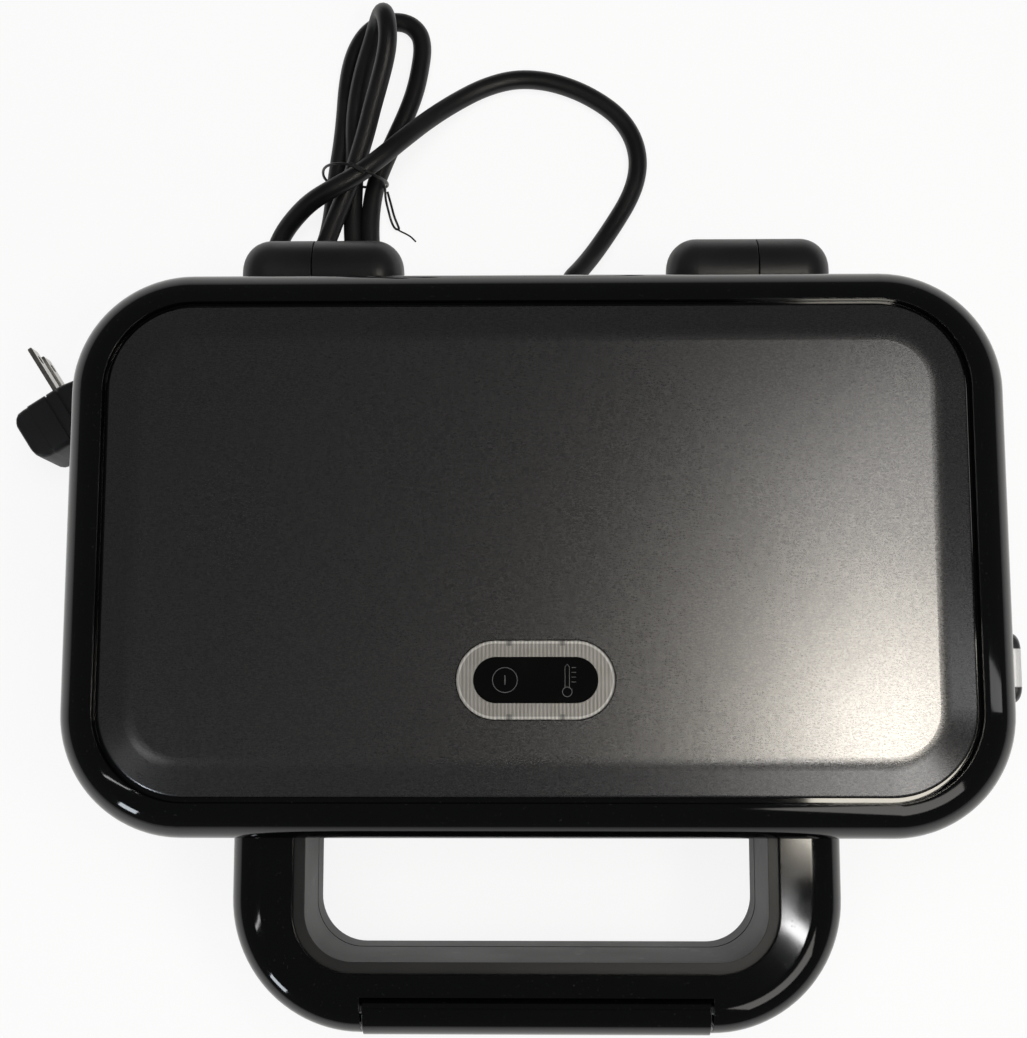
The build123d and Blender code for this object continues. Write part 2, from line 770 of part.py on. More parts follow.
sleeve_z = parting_z - post_meeting
head_pocket_z = sleeve_z - head_pocket_floor
with BuildPart() as lower_housing:
    add(base_form(0))
    add(base_form(wall), mode=Mode.SUBTRACT)
    with BuildSketch(Plane.XY.offset(floor_z - wall / 2)):
        with Locations(*four_corners(post_x, post_y)):
            Circle(sleeve_radius)
    extrude(amount=sleeve_z - floor_z + wall / 2)
    with BuildSketch(Plane.XY.offset(bottom_z)):
        with Locations(*four_corners(post_x, post_y)):
            Circle(screw_hole)
    extrude(amount=sleeve_z - bottom_z, mode=Mode.SUBTRACT)
    with BuildSketch(Plane.XY.offset(bottom_z)):
        with Locations(*four_corners(post_x, post_y)):
            Circle(head_pocket_radius)
    extrude(amount=head_pocket_z - bottom_z, mode=Mode.SUBTRACT)
    with BuildSketch(Plane.XY.offset(bottom_z)):
        with Locations(*four_corners(foot_x, foot_y)):
            Circle(foot_radius + seat)
    extrude(amount=foot_recess, mode=Mode.SUBTRACT)
    with BuildSketch(side_plane(edge_length / 2 - 4 * wall, parting_z - button_level)):
        button_outline(button_clearance)
    extrude(amount=5 * wall, mode=Mode.SUBTRACT)
    with BuildSketch(Plane((gland_x, edge_depth / 2 + wall, gland_z), x_dir=(1, 0, 0), z_dir=(0, -1, 0))):
        Circle(gland_neck_radius + seat)
    extrude(amount=4 * wall, mode=Mode.SUBTRACT)
    # Saddle that the cord's clamp is screwed to, and the two screw holes in it
    with BuildSketch(Plane.XY.offset(floor_z)):
        with Locations((gland_x, clamp_y)):
            Rectangle(2 * clamp_half_width, clamp_length)
    extrude(amount=gland_z + cord_radius - floor_z)
    with BuildSketch(Plane((gland_x, clamp_y - clamp_length / 2, gland_z), x_dir=(1, 0, 0),
                           z_dir=(0, -1, 0))):
        Circle(cord_radius + pin_clearance)
        with Locations((0, 2 * cord_radius)):
            Rectangle(2 * cord_radius + 2 * pin_clearance, 4 * cord_radius)
    extrude(amount=-clamp_length, mode=Mode.SUBTRACT)
    with BuildSketch(Plane.XY.offset(gland_z + cord_radius)):
        with Locations((gland_x - clamp_screw_offset, clamp_y), (gland_x + clamp_screw_offset, clamp_y)):
            Circle(clamp_screw_radius + pin_clearance)
    extrude(amount=-cord_radius * 2, mode=Mode.SUBTRACT)
    add(knuckle_clear(base_knuckle_from, knuckle_outer_x - knuckle_arm_inset, *base_arm),
        mode=Mode.SUBTRACT)
    add(in_base(tongue_slots(frame_far, frame_far + tongue_thickness)), mode=Mode.SUBTRACT)
save(lower_housing.part, "lower_housing")

with BuildPart() as lid_panel:
    add(panel_form(0))
    add(panel_form(panel_sheet), mode=Mode.SUBTRACT)
    with BuildSketch(Plane.XY.offset(panel_top_z)):
        with Locations((0, indicator_y)):
            SlotOverall(bezel_length + 2 * seat, bezel_width + 2 * seat)
    extrude(amount=-2 * panel_sheet, mode=Mode.SUBTRACT)
save(lid_panel.part, "lid_panel")

# ---------------------------------------------------------- indicator in the lid
panel_under_z = panel_top_z - panel_sheet
flange_low_z = panel_under_z - bezel_flange_thickness
lens_flange_low_z = flange_low_z - bezel_flange_thickness

with BuildPart() as indicator_bezel:
    with BuildSketch(Plane.XY.offset(flange_low_z)):
        with Locations((0, indicator_y)):
            SlotOverall(bezel_length + 2 * bezel_flange, bezel_width + 2 * bezel_flange)
    extrude(amount=bezel_flange_thickness)
    with BuildSketch(Plane.XY.offset(flange_low_z)):
        with Locations((0, indicator_y)):
            SlotOverall(bezel_length, bezel_width)
    extrude(amount=panel_top_z - bezel_inset - flange_low_z)
    with BuildSketch(Plane.XY.offset(flange_low_z)):
        with Locations((0, indicator_y)):
            SlotOverall(lens_length + 2 * pin_clearance, lens_width + 2 * pin_clearance)
    extrude(amount=panel_top_z - flange_low_z, mode=Mode.SUBTRACT)
save(indicator_bezel.part, "indicator_bezel")

with BuildPart() as indicator_lens:
    with BuildSketch(Plane.XY.offset(lens_flange_low_z)):
        with Locations((0, indicator_y)):
            SlotOverall(lens_length + 2 * lens_flange, lens_width + 2 * lens_flange)
    extrude(amount=bezel_flange_thickness)
    with BuildSketch(Plane.XY.offset(lens_flange_low_z)):
        with Locations((0, indicator_y)):
            SlotOverall(lens_length, lens_width)
    extrude(amount=panel_top_z - lens_inset - lens_flange_low_z)
save(indicator_lens.part, "indicator_lens")

holder_low_z = flange_low_z - lamp_holder_depth
with BuildPart() as lamp_holder:
    with BuildSketch(Plane.XY.offset(holder_low_z)):
        with Locations((0, indicator_y)):
            SlotOverall(bezel_length + 2 * bezel_flange, bezel_width + 2 * bezel_flange)
    extrude(amount=lamp_holder_depth)
    with BuildSketch(Plane.XY.offset(holder_low_z + lamp_holder_wall)):
        with Locations((0, indicator_y)):
            SlotOverall(bezel_length + 2 * bezel_flange - 2 * lamp_holder_wall,
                        bezel_width + 2 * bezel_flange - 2 * lamp_holder_wall)
    extrude(amount=lamp_holder_depth, mode=Mode.SUBTRACT)
    with BuildSketch(Plane.XY.offset(holder_low_z)):
        with Locations((0, indicator_y)):
            Rectangle(lamp_holder_wall, bezel_width + bezel_flange)
    extrude(amount=lens_flange_low_z - holder_low_z)
save(lamp_holder.part, "lamp_holder")

with BuildPart() as indicator_lamps:
    with BuildSketch(Plane.XY.offset(holder_low_z + lamp_holder_wall)):
        with Locations((-lamp_offset, indicator_y), (lamp_offset, indicator_y)):
            Circle(lamp_radius)
    extrude(amount=lamp_height)
    fillet(indicator_lamps.edges().group_by(Axis.Z)[-1], lamp_radius * 0.8)
save(indicator_lamps.part, "indicator_lamps")

# --------------------------------------------------------- frames, plates, heaters
frame = frame_core()
with BuildPart() as upper_frame:
    add(frame)
    add(knuckle(knuckle_inner_x, lid_knuckle_to, knuckle_inner_x, *lid_arm))
save(upper_frame.part, "upper_frame")

with BuildPart() as lower_frame:
    add(in_base(frame))
    add(knuckle(base_knuckle_from, knuckle_outer_x, knuckle_outer_x, *base_arm))
save(lower_frame.part, "lower_frame")

plate = cook_plate()
save(plate, "upper_cook_plate")
save(in_base(plate), "lower_cook_plate")


def heater_path():
    """The heating element's centre line in the lid: one long U, open to the left."""
    x = heater_half_length
    y = heater_half_depth
    z = parting_z + heater_level
    with BuildLine() as path:
        FilletPolyline((heater_end_x, y, z), (x, y, z), (x, -y, z), (heater_end_x, -y, z),
                       radius=heater_corner)
    return path.line


def heater():
    with BuildPart() as element:
        path = heater_path()
        with BuildSketch(Plane(path @ 0, z_dir=path % 0)):
            Circle(heater_radius)
        sweep(path=path)
    return element.part


def heater_terminals():
    """Ceramic ends with their pins, on the ends of the element."""
    with BuildPart() as ends:
        for y in (-heater_half_depth, heater_half_depth):
            start = Vector(heater_end_x, y, parting_z + heater_level)
            with BuildSketch(Plane(start, z_dir=(-1, 0, 0))):
                Circle(terminal_radius)
            extrude(amount=terminal_length)
            with BuildSketch(Plane(start - Vector(terminal_length, 0, 0), z_dir=(-1, 0, 0))):
                Circle(terminal_pin_radius)
            extrude(amount=terminal_pin)
    return ends.part


def reflector():
    """The sheet tray behind the element, its flange lying on the plate frame."""
    with BuildPart() as tray:
        with BuildSketch(above(frame_far)):
            RectangleRounded(reflector_length, reflector_depth, reflector_corner)
        extrude(amount=reflector_far - frame_far)
        with BuildSketch(above(frame_far)):
            RectangleRounded(reflector_length - 2 * reflector_sheet,
                             reflector_depth - 2 * reflector_sheet,
                             reflector_corner - reflector_sheet)
        extrude(amount=reflector_near - frame_far, mode=Mode.SUBTRACT)
        with BuildSketch(above(frame_far)):
            RectangleRounded(reflector_length + 2 * reflector_flange,
                             reflector_depth + 2 * reflector_flange,
                             reflector_corner + reflector_flange)
            RectangleRounded(reflector_length - reflector_sheet, reflector_depth - reflector_sheet,
                             reflector_corner, mode=Mode.SUBTRACT)
            with Locations(*four_corners(post_x, post_y)):
                Circle(post_radius + seat, mode=Mode.SUBTRACT)
        extrude(amount=reflector_sheet)
        # Room for the catch slider and the lug at the right, the hooks and terminals at the left
        with BuildSketch(above(frame_far)):
            with Locations((lug_outer_x, catch_y)):
                Rectangle(4 * reflector_flange, slider_width + 2 * guide_wall + 4 * seat)
        extrude(amount=lug_far + seat - frame_far, mode=Mode.SUBTRACT)
        with BuildSketch(above(frame_far)):
            with Locations((-lug_outer_x, -heel_y), (-lug_outer_x, heel_y)):
                Rectangle(4 * reflector_flange, heel_width + 4 * seat)
        extrude(amount=heel_height + 2 * seat, mode=Mode.SUBTRACT)
        for y in (-heater_half_depth, heater_half_depth):
            with BuildSketch(Plane((heater_end_x, y, parting_z + heater_level), z_dir=(-1, 0, 0))):
                Circle(terminal_radius + seat)
            extrude(amount=2 * terminal_length, mode=Mode.SUBTRACT)
    return tray.part


def heater_clips():
    """Saddles that hold the element off the tray."""
    x = clip_x
    z = parting_z + heater_level
    with BuildPart() as saddles:
        with BuildSketch(Plane.XY.offset(z)):
            with Locations(*four_corners(x, heater_half_depth)):
                Rectangle(clip_length, clip_width)
        extrude(amount=reflector_near - heater_level)
        for y in (-heater_half_depth, heater_half_depth):
            with BuildSketch(Plane((-x - clip_length, y, z), z_dir=(1, 0, 0))):
                Circle(heater_radius + pin_clearance)
            extrude(amount=2 * x + 2 * clip_length, mode=Mode.SUBTRACT)
    return saddles.part


def catch_slider():
    """The sliding catch: a flat plate with a window for the lug, and an upright to the button."""
    near = slider_level
    nose_x = lug_outer_x - lug_thickness - seat
    window = nose_x, lug_outer_x + button_travel + catch_slack
    right_x = slider_upright_x + slider_upright
    with BuildPart() as slider:
        with BuildSketch(above(near)):
            with Locations(((nose_x - slider_nose + right_x) / 2, catch_y)):
                Rectangle(right_x - nose_x + slider_nose, slider_width)
            with Locations(((window[0] + window[1]) / 2, catch_y)):
                Rectangle(window[1] - window[0], lug_width + 4 * seat, mode=Mode.SUBTRACT)
        extrude(amount=slider_thickness)
        with BuildSketch(above(near)):
            with Locations((right_x - slider_upright / 2, catch_y)):
                Rectangle(slider_upright, slider_width / 2)
        extrude(amount=button_level + button_height / 2 - near)
    return slider.part


def catch_spring():
    """The compression spring between the guide's stop and the slider's upright."""
    start_x = guide_x + spring_post + spring_wire / 2 + spring_gap
    run = slider_upright_x - spring_wire / 2 - spring_gap - start_x
    with BuildPart() as coil:
        with BuildLine() as line:
            Helix(run / spring_turns, run, spring_radius - spring_wire / 2,
                  center=(start_x, catch_y, parting_z + button_level), direction=(1, 0, 0))
        with BuildSketch(Plane(line.line @ 0, z_dir=line.line % 0)):
            Circle(spring_wire / 2)
        sweep(path=line.line, is_frenet=True)
    return coil.part


def release_button(wall_x, level):
    """The push button: shank, inner shoulder and rounded cap; wall_x is the wall's outside."""
    with BuildPart() as button:
        inner_x = slider_upright_x + slider_upright
        with BuildSketch(side_plane(inner_x, level)):
            button_outline(0)
        extrude(amount=wall_x + button_proud - inner_x)
        fillet(button.edges().group_by(Axis.X)[-1], button_height * 0.2)
        with BuildSketch(side_plane(inner_x, level)):
            button_outline(button_flange)
        extrude(amount=wall_x - wall - seat - button_height * draft - inner_x)
    return button.part


save(heater(), "upper_heater")
save(in_base(heater()), "lower_heater")
save(heater_terminals(), "upper_heater_terminals")
save(in_base(heater_terminals()), "lower_heater_terminals")
save(reflector(), "upper_reflector")
save(in_base(reflector()), "lower_reflector")
save(heater_clips(), "upper_heater_clips")
save(in_base(heater_clips()), "lower_heater_clips")
save(catch_slider(), "upper_catch_slider")
save(in_base(catch_slider()), "lower_catch_slider")
save(catch_spring(), "upper_catch_spring")
save(in_base(catch_spring()), "lower_catch_spring")
lid_wall_x = body_length / 2 - (widest_z - parting_z - button_level) * draft
base_wall_x = edge_length / 2 - (base_edge_z - parting_z + button_level) * draft
save(release_button(lid_wall_x, parting_z + button_level), "upper_release_button")
save(release_button(base_wall_x, parting_z - button_level), "lower_release_button")


def frame_screws():
    """The lid's four long screws, heads under the panel, threads in the frame's posts."""
    with BuildPart() as screws:
        head_z = ledge_top_z - ledge_thickness
        with BuildSketch(Plane.XY.offset(head_z)):
            with Locations(*four_corners(post_x, post_y)):
                Circle(screw_head_radius)
        extrude(amount=screw_head_height)
        fillet(screws.edges().group_by(Axis.Z)[-1], screw_head_height / 3)
        with BuildSketch(Plane.XY.offset(head_z + screw_head_height)):
            with Locations(*four_corners(post_x, post_y)):
                Rectangle(screw_head_radius * 1.1, screw_head_height / 3)
                Rectangle(screw_head_height / 3, screw_head_radius * 1.1)
        extrude(amount=-screw_head_height / 2, mode=Mode.SUBTRACT)
        with BuildSketch(Plane.XY.offset(head_z)):
            with Locations(*four_corners(post_x, post_y)):
                Circle(screw_radius)
        extrude(amount=-(head_z - parting_z - post_meeting + screw_reach - 1))
    return screws.part


save(frame_screws(), "lid_screws")

with BuildPart() as base_screws:
    with BuildSketch(Plane.XY.offset(head_pocket_z)):
        with Locations(*four_corners(post_x, post_y)):
            Circle(screw_head_radius)
    extrude(amount=-screw_head_height)
    fillet(base_screws.edges().group_by(Axis.Z)[0], screw_head_height / 3)
    with BuildSketch(Plane.XY.offset(head_pocket_z - screw_head_height)):
        with Locations(*four_corners(post_x, post_y)):
            Rectangle(screw_head_radius * 1.1, screw_head_height / 3)
            Rectangle(screw_head_height / 3, screw_head_radius * 1.1)
    extrude(amount=screw_head_height / 2, mode=Mode.SUBTRACT)
    with BuildSketch(Plane.XY.offset(head_pocket_z)):
        with Locations(*four_corners(post_x, post_y)):
            Circle(screw_radius)
    extrude(amount=sleeve_z + screw_reach - 1 - head_pocket_z)
save(base_screws.part, "base_screws")

with BuildPart() as hinge_pin:
    with BuildSketch(Plane((-pin_outer_x + seat, 0, 0), x_dir=(0, 1, 0), z_dir=(1, 0, 0))):
        with Locations((hinge_y, hinge_z)):
            Circle(hinge_pin_radius)
    extrude(amount=pin_outer_x - pin_inner_x - 2 * seat)
save(hinge_pin.part, "hinge_pin")

with BuildPart() as hinge_tube:
    with BuildSketch(Plane((tube_inner_x + seat, 0, 0), x_dir=(0, 1, 0), z_dir=(1, 0, 0))):
        with Locations((hinge_y, hinge_z)):
            Circle(hinge_tube_radius)
            Circle(hinge_tube_bore, mode=Mode.SUBTRACT)
    extrude(amount=tube_outer_x - tube_inner_x - 2 * seat)
save(hinge_tube.part, "hinge_tube")


# ---------------------------------------------------------------- handle and latch
def half_outline(near_z, far_z, outer_inset, outer_round):
    """Half of the handle's outer form, from the parting edge to far_z, as a solid loop."""
    up = 1 if far_z > near_z else -1
    with BuildPart() as half:
        with BuildSketch(Plane.XY.offset(near_z)):
            with Locations((0, (handle_front_y + handle_rear_y) / 2)):
                RectangleRounded(handle_width - 2 * outer_inset,
                                 handle_rear_y - handle_front_y - 2 * outer_inset,
                                 handle_corner - outer_inset)
        extrude(amount=far_z - up * outer_inset - near_z)
        far_edges = half.edges().group_by(Axis.Z)[-1 if up > 0 else 0]
        fillet(far_edges, outer_round - outer_inset)
    return half.part


def grip_hole(grow):
    """The finger opening, widened by grow, through both halves."""
    with BuildPart() as hole:
        with BuildSketch(Plane.XY.offset(grip_bottom_z - handle_wall)):
            with Locations((0, (grip_front_y + grip_rear_y) / 2)):
                RectangleRounded(grip_width + 2 * grow, grip_rear_y - grip_front_y + 2 * grow,
                                 grip_corner + grow)
        extrude(amount=grip_top_z - grip_bottom_z + 2 * handle_wall)
    return hole.part


def handle_shell(near_z, far_z, outer_round, housing, front_y):
    """Half of the handle's gloss shell, with the bar that backs the latch's pocket."""
    bar_half = latch_width / 2 + latch_side_gap + latch_cheek
    pocket_half = latch_width / 2 + latch_side_gap
    low_z, high_z = min(near_z, far_z), max(near_z, far_z)
    with BuildPart() as bar:
        add(half_outline(near_z, far_z, 0, outer_round))
        with BuildSketch(Plane.XY.offset(low_z)):
            with Locations((0, (handle_front_y + latch_pivot_y + latch_bar_back) / 2)):
                Rectangle(2 * bar_half, latch_pivot_y + latch_bar_back - handle_front_y)
        extrude(amount=high_z - low_z, mode=Mode.INTERSECT)
    with BuildPart() as shell:
        add(half_outline(near_z, far_z, 0, outer_round))
        add(half_outline(near_z, far_z, handle_wall, outer_round), mode=Mode.SUBTRACT)
        add(bar.part)
        add(grip_hole(liner_wall), mode=Mode.SUBTRACT)
        add(housing, mode=Mode.SUBTRACT)
        with BuildSketch(Plane.XY.offset(low_z)):
            with Locations((0, front_y - handle_corner / 2)):
                Rectangle(2 * pocket_half, handle_corner)
        extrude(amount=high_z - low_z, mode=Mode.SUBTRACT)
    return shell.part


def liner(near_z, far_z, housing):
    """Half of the handle's matt liner: the grip's inner wall, a plate and the two tongues."""
    up = 1 if far_z > near_z else -1
    plate_far = near_z + up * liner_plate
    tongue_near = parting_z + up * frame_far
    tongue_y = -edge_depth / 2 + tongue_reach - wall
    with BuildPart() as inner:
        with BuildSketch(Plane.XY.offset(near_z)):
            with Locations((0, (grip_front_y + grip_rear_y) / 2)):
                RectangleRounded(grip_width + 2 * liner_wall,
                                 grip_rear_y - grip_front_y + 2 * liner_wall,
                                 grip_corner + liner_wall)
        extrude(amount=far_z - up * liner_below_top - near_z)
        with BuildSketch(Plane.XY.offset(near_z)):
            with Locations((0, (handle_front_y + handle_rear_y) / 2)):
                RectangleRounded(handle_width - 2 * handle_wall - 2 * seat,
                                 handle_rear_y - handle_front_y - 2 * handle_wall - 2 * seat,
                                 handle_corner - handle_wall - seat)
        extrude(amount=plate_far - near_z)
        with BuildSketch(Plane.XY.offset(plate_far)):
            with Locations((-tongue_x, tongue_y - tongue_reach - tongue_root / 2),
                           (tongue_x, tongue_y - tongue_reach - tongue_root / 2)):
                Rectangle(tongue_width, tongue_root)
        extrude(amount=tongue_near + up * tongue_thickness - plate_far)
        add(grip_hole(0), mode=Mode.SUBTRACT)
        add(housing, mode=Mode.SUBTRACT)
        with BuildSketch(Plane.XY.offset(min(near_z, far_z))):
            with Locations((0, latch_pivot_y + latch_bar_back + seat - handle_corner / 2)):
                Rectangle(latch_width + 2 * (latch_side_gap + latch_cheek + seat), handle_corner)
        extrude(amount=abs(far_z - near_z), mode=Mode.SUBTRACT)
        with BuildSketch(Plane.XY.offset(tongue_near)):
            with Locations((-tongue_x, tongue_y - (tongue_reach + tongue_root) / 2),
                           (tongue_x, tongue_y - (tongue_reach + tongue_root) / 2)):
                Rectangle(tongue_width, tongue_reach + tongue_root)
        extrude(amount=up * tongue_thickness)
        with BuildSketch(Plane.XY.offset(tongue_near)):
            with Locations((-tongue_x, handle_screw_y), (tongue_x, handle_screw_y)):
                Circle(handle_screw_radius + pin_clearance)
        extrude(amount=up * tongue_thickness, mode=Mode.SUBTRACT)
    return inner.part


def latch_plane(x, swing):
    """The latch's side view at x, centred on its pin, swung out by swing radians."""
    return Plane((x, latch_pivot_y, latch_pivot_z), x_dir=(0, math.cos(swing), -math.sin(swing)),
                 z_dir=(1, 0, 0))


lid_solid = lid_form(0)
base_solid = base_form(0)
with BuildPart() as upper_handle_shell:
    add(handle_shell(lid_edge_z, grip_top_z, handle_top_round, lid_solid,
                     latch_pivot_y - latch_knuckle + 0.5))
    # Round seat for the latch's knuckle, open upwards, and the pin's holes in the cheeks
    with BuildSketch(latch_plane(-latch_width / 2 - latch_side_gap, 0)):
        Circle(latch_seat)
        with Locations((0, latch_seat)):
            Rectangle(2 * latch_seat, 2 * latch_seat)
    extrude(amount=latch_width + 2 * latch_side_gap, mode=Mode.SUBTRACT)
    with BuildSketch(latch_plane(-latch_width / 2 - latch_side_gap - latch_cheek, 0)):
        Circle(latch_pin_radius + pin_clearance)
    extrude(amount=latch_width + 2 * latch_side_gap + 2 * latch_cheek, mode=Mode.SUBTRACT)
save(upper_handle_shell.part, "upper_handle_shell")

with BuildPart() as lower_handle_shell:
    add(handle_shell(base_edge_z, grip_bottom_z, handle_bottom_round, base_solid, lower_pocket_y))
save(lower_handle_shell.part, "lower_handle_shell")

save(liner(lid_edge_z, grip_top_z, lid_solid), "upper_handle_liner")
save(liner(base_edge_z, grip_bottom_z, base_solid), "lower_handle_liner")

with BuildPart() as latch_clip:
    round_y = handle_front_y + handle_top_round - latch_pivot_y
    round_z = grip_top_z - handle_top_round - latch_pivot_z
    inner_round = handle_top_round - latch_thickness
    outer_turn = math.degrees(math.acos(round_y / handle_top_round))
    inner_turn = math.degrees(math.acos(round_y / inner_round))
    hook_far = -latch_outer + latch_hook_reach
    hook_top = -latch_toe + latch_hook_height
    with BuildSketch(latch_plane(-latch_width / 2, latch_swing)):
        with BuildLine():
            outer = CenterArc((round_y, round_z), handle_top_round, 180 - outer_turn, outer_turn)
            inner = CenterArc((round_y, round_z), inner_round, 180 - inner_turn, inner_turn)
            Polyline(outer @ 1, (-latch_outer, -latch_toe), (hook_far, -latch_toe),
                     (hook_far, hook_top), (-latch_inner, hook_top), inner @ 1)
            Line(outer @ 0, inner @ 0)
        make_face()
        Circle(latch_knuckle)
        Circle(latch_pin_radius + pin_clearance, mode=Mode.SUBTRACT)
    extrude(amount=latch_width)
save(latch_clip.part, "latch_clip")

with BuildPart() as latch_pin:
    with BuildSketch(latch_plane(-latch_width / 2 - latch_side_gap - latch_cheek + seat, 0)):
        Circle(latch_pin_radius)
    extrude(amount=latch_width + 2 * latch_side_gap + 2 * latch_cheek - 2 * seat)
save(latch_pin.part, "latch_pin")


def handle_screws(up):
    """Two screws that hold a liner's tongues to the plate frame."""
    head_z = parting_z + up * (frame_far + tongue_thickness)
    with BuildPart() as screws:
        with BuildSketch(Plane.XY.offset(head_z)):
            with Locations((-tongue_x, handle_screw_y), (tongue_x, handle_screw_y)):
                Circle(handle_screw_head)
        extrude(amount=up * screw_head_height)
        with BuildSketch(Plane.XY.offset(head_z)):
            with Locations((-tongue_x, handle_screw_y), (tongue_x, handle_screw_y)):
                Circle(handle_screw_radius)
        extrude(amount=-up * (tongue_thickness + frame_thickness - seat))
    return screws.part


save(handle_screws(1), "upper_handle_screws")
save(handle_screws(-1), "lower_handle_screws")

# ------------------------------------------------------- feet and what lies inside
with BuildPart() as feet:
    with BuildSketch(Plane.XY):
        with Locations(*four_corners(foot_x, foot_y)):
            Circle(foot_radius)
    extrude(amount=bottom_z + foot_recess)
    fillet(feet.edges().group_by(Axis.Z)[0], foot_round)
save(feet.part, "feet")

with BuildPart() as thermostat:
    with BuildSketch(above(reflector_far)):
        with Locations((0, thermostat_y)):
            Circle(thermostat_flange)
    extrude(amount=thermostat_flange_thickness)
    with BuildSketch(above(reflector_far)):
        with Locations((0, thermostat_y)):
            Circle(thermostat_radius)
    extrude(amount=thermostat_flange_thickness + thermostat_height)
save(thermostat.part, "thermostat")

with BuildPart() as thermal_fuse:
    with BuildSketch(Plane((fuse_x - fuse_length / 2, fuse_y, fuse_z), z_dir=(1, 0, 0))):
        Circle(fuse_radius)
    extrude(amount=fuse_length)
    fillet(thermal_fuse.edges().filter_by(GeomType.CIRCLE), fuse_radius / 3)
save(thermal_fuse.part, "thermal_fuse")

with BuildPart() as fuse_clip:
    clip_start = Plane((fuse_x - fuse_clip_length / 2, fuse_y, fuse_top_z), x_dir=(0, 1, 0),
                       z_dir=(1, 0, 0))
    clip_half = fuse_radius + pin_clearance + fuse_clip_sheet
    clip_deep = seat + 2 * fuse_radius + pin_clearance + fuse_clip_sheet
    with BuildSketch(clip_start):
        with Locations((0, -fuse_clip_sheet / 2)):
            Rectangle(2 * fuse_clip_reach, fuse_clip_sheet)
        with Locations((0, -clip_deep / 2)):
            Rectangle(2 * clip_half, clip_deep)
        with Locations((0, -(clip_deep - fuse_clip_sheet) / 2)):
            Rectangle(2 * clip_half - 2 * fuse_clip_sheet, clip_deep - fuse_clip_sheet,
                      mode=Mode.SUBTRACT)
    extrude(amount=fuse_clip_length)
save(fuse_clip.part, "fuse_clip")

with BuildPart() as terminal_block:
    with BuildSketch(Plane.XY.offset(floor_z)):
        with Locations((block_x, block_y)):
            Rectangle(block_length, block_width)
    extrude(amount=block_height)
    with BuildSketch(Plane.XY.offset(floor_z + block_height)):
        with Locations((block_x, block_y)):
            with GridLocations(block_length / 3, block_width / 2, 3, 2):
                Circle(block_hole)
    extrude(amount=-block_height / 2, mode=Mode.SUBTRACT)
save(terminal_block.part, "terminal_block")

gland_wall_y = edge_depth / 2 - (base_edge_z - gland_z) * draft
gland_end_y = gland_wall_y - seat + gland_length
with BuildPart() as cord_gland:
    flange_face_y = gland_wall_y - wall - gland_flange_radius * draft - seat
    cone_start_y = gland_wall_y + gland_root_radius * draft + seat
    with BuildSketch(Plane((gland_x, 0, gland_z), x_dir=(0, 1, 0), z_dir=(1, 0, 0))):
        with BuildLine():
            Polyline((flange_face_y - gland_flange_thickness, cord_radius + pin_clearance),
                     (flange_face_y - gland_flange_thickness, gland_flange_radius),
                     (flange_face_y, gland_flange_radius),
                     (flange_face_y, gland_neck_radius),
                     (cone_start_y, gland_neck_radius),
                     (cone_start_y, gland_root_radius),
                     (gland_end_y, gland_tip_radius),
                     (gland_end_y, cord_radius + pin_clearance), close=True)
        make_face()
    revolve(axis=Axis((gland_x, 0, gland_z), (0, 1, 0)))
save(cord_gland.part, "cord_gland")

with BuildPart() as inner_cable:
    with BuildSketch(Plane((gland_x, cable_end_y, gland_z), z_dir=(0, 1, 0))):
        Circle(cord_radius)
    extrude(amount=gland_end_y - cable_end_y)
save(inner_cable.part, "inner_cable")

clamp_z = gland_z + cord_radius
with BuildPart() as cord_clamp:
    with BuildSketch(Plane.XY.offset(clamp_z)):
        with Locations((gland_x, clamp_y)):
            Rectangle(2 * clamp_half_width, clamp_length)
        with Locations((gland_x - clamp_screw_offset, clamp_y),
                       (gland_x + clamp_screw_offset, clamp_y)):
            Circle(clamp_screw_radius + pin_clearance, mode=Mode.SUBTRACT)
    extrude(amount=clamp_strap)
save(cord_clamp.part, "cord_clamp")

with BuildPart() as clamp_screws:
    with BuildSketch(Plane.XY.offset(clamp_z + clamp_strap)):
        with Locations((gland_x - clamp_screw_offset, clamp_y),
                       (gland_x + clamp_screw_offset, clamp_y)):
            Circle(clamp_screw_head)
    extrude(amount=clamp_screw_head_height)
    with BuildSketch(Plane.XY.offset(clamp_z + clamp_strap)):
        with Locations((gland_x - clamp_screw_offset, clamp_y),
                       (gland_x + clamp_screw_offset, clamp_y)):
            Circle(clamp_screw_radius)
    extrude(amount=-clamp_strap - cord_radius)
save(clamp_screws.part, "cord_clamp_screws")

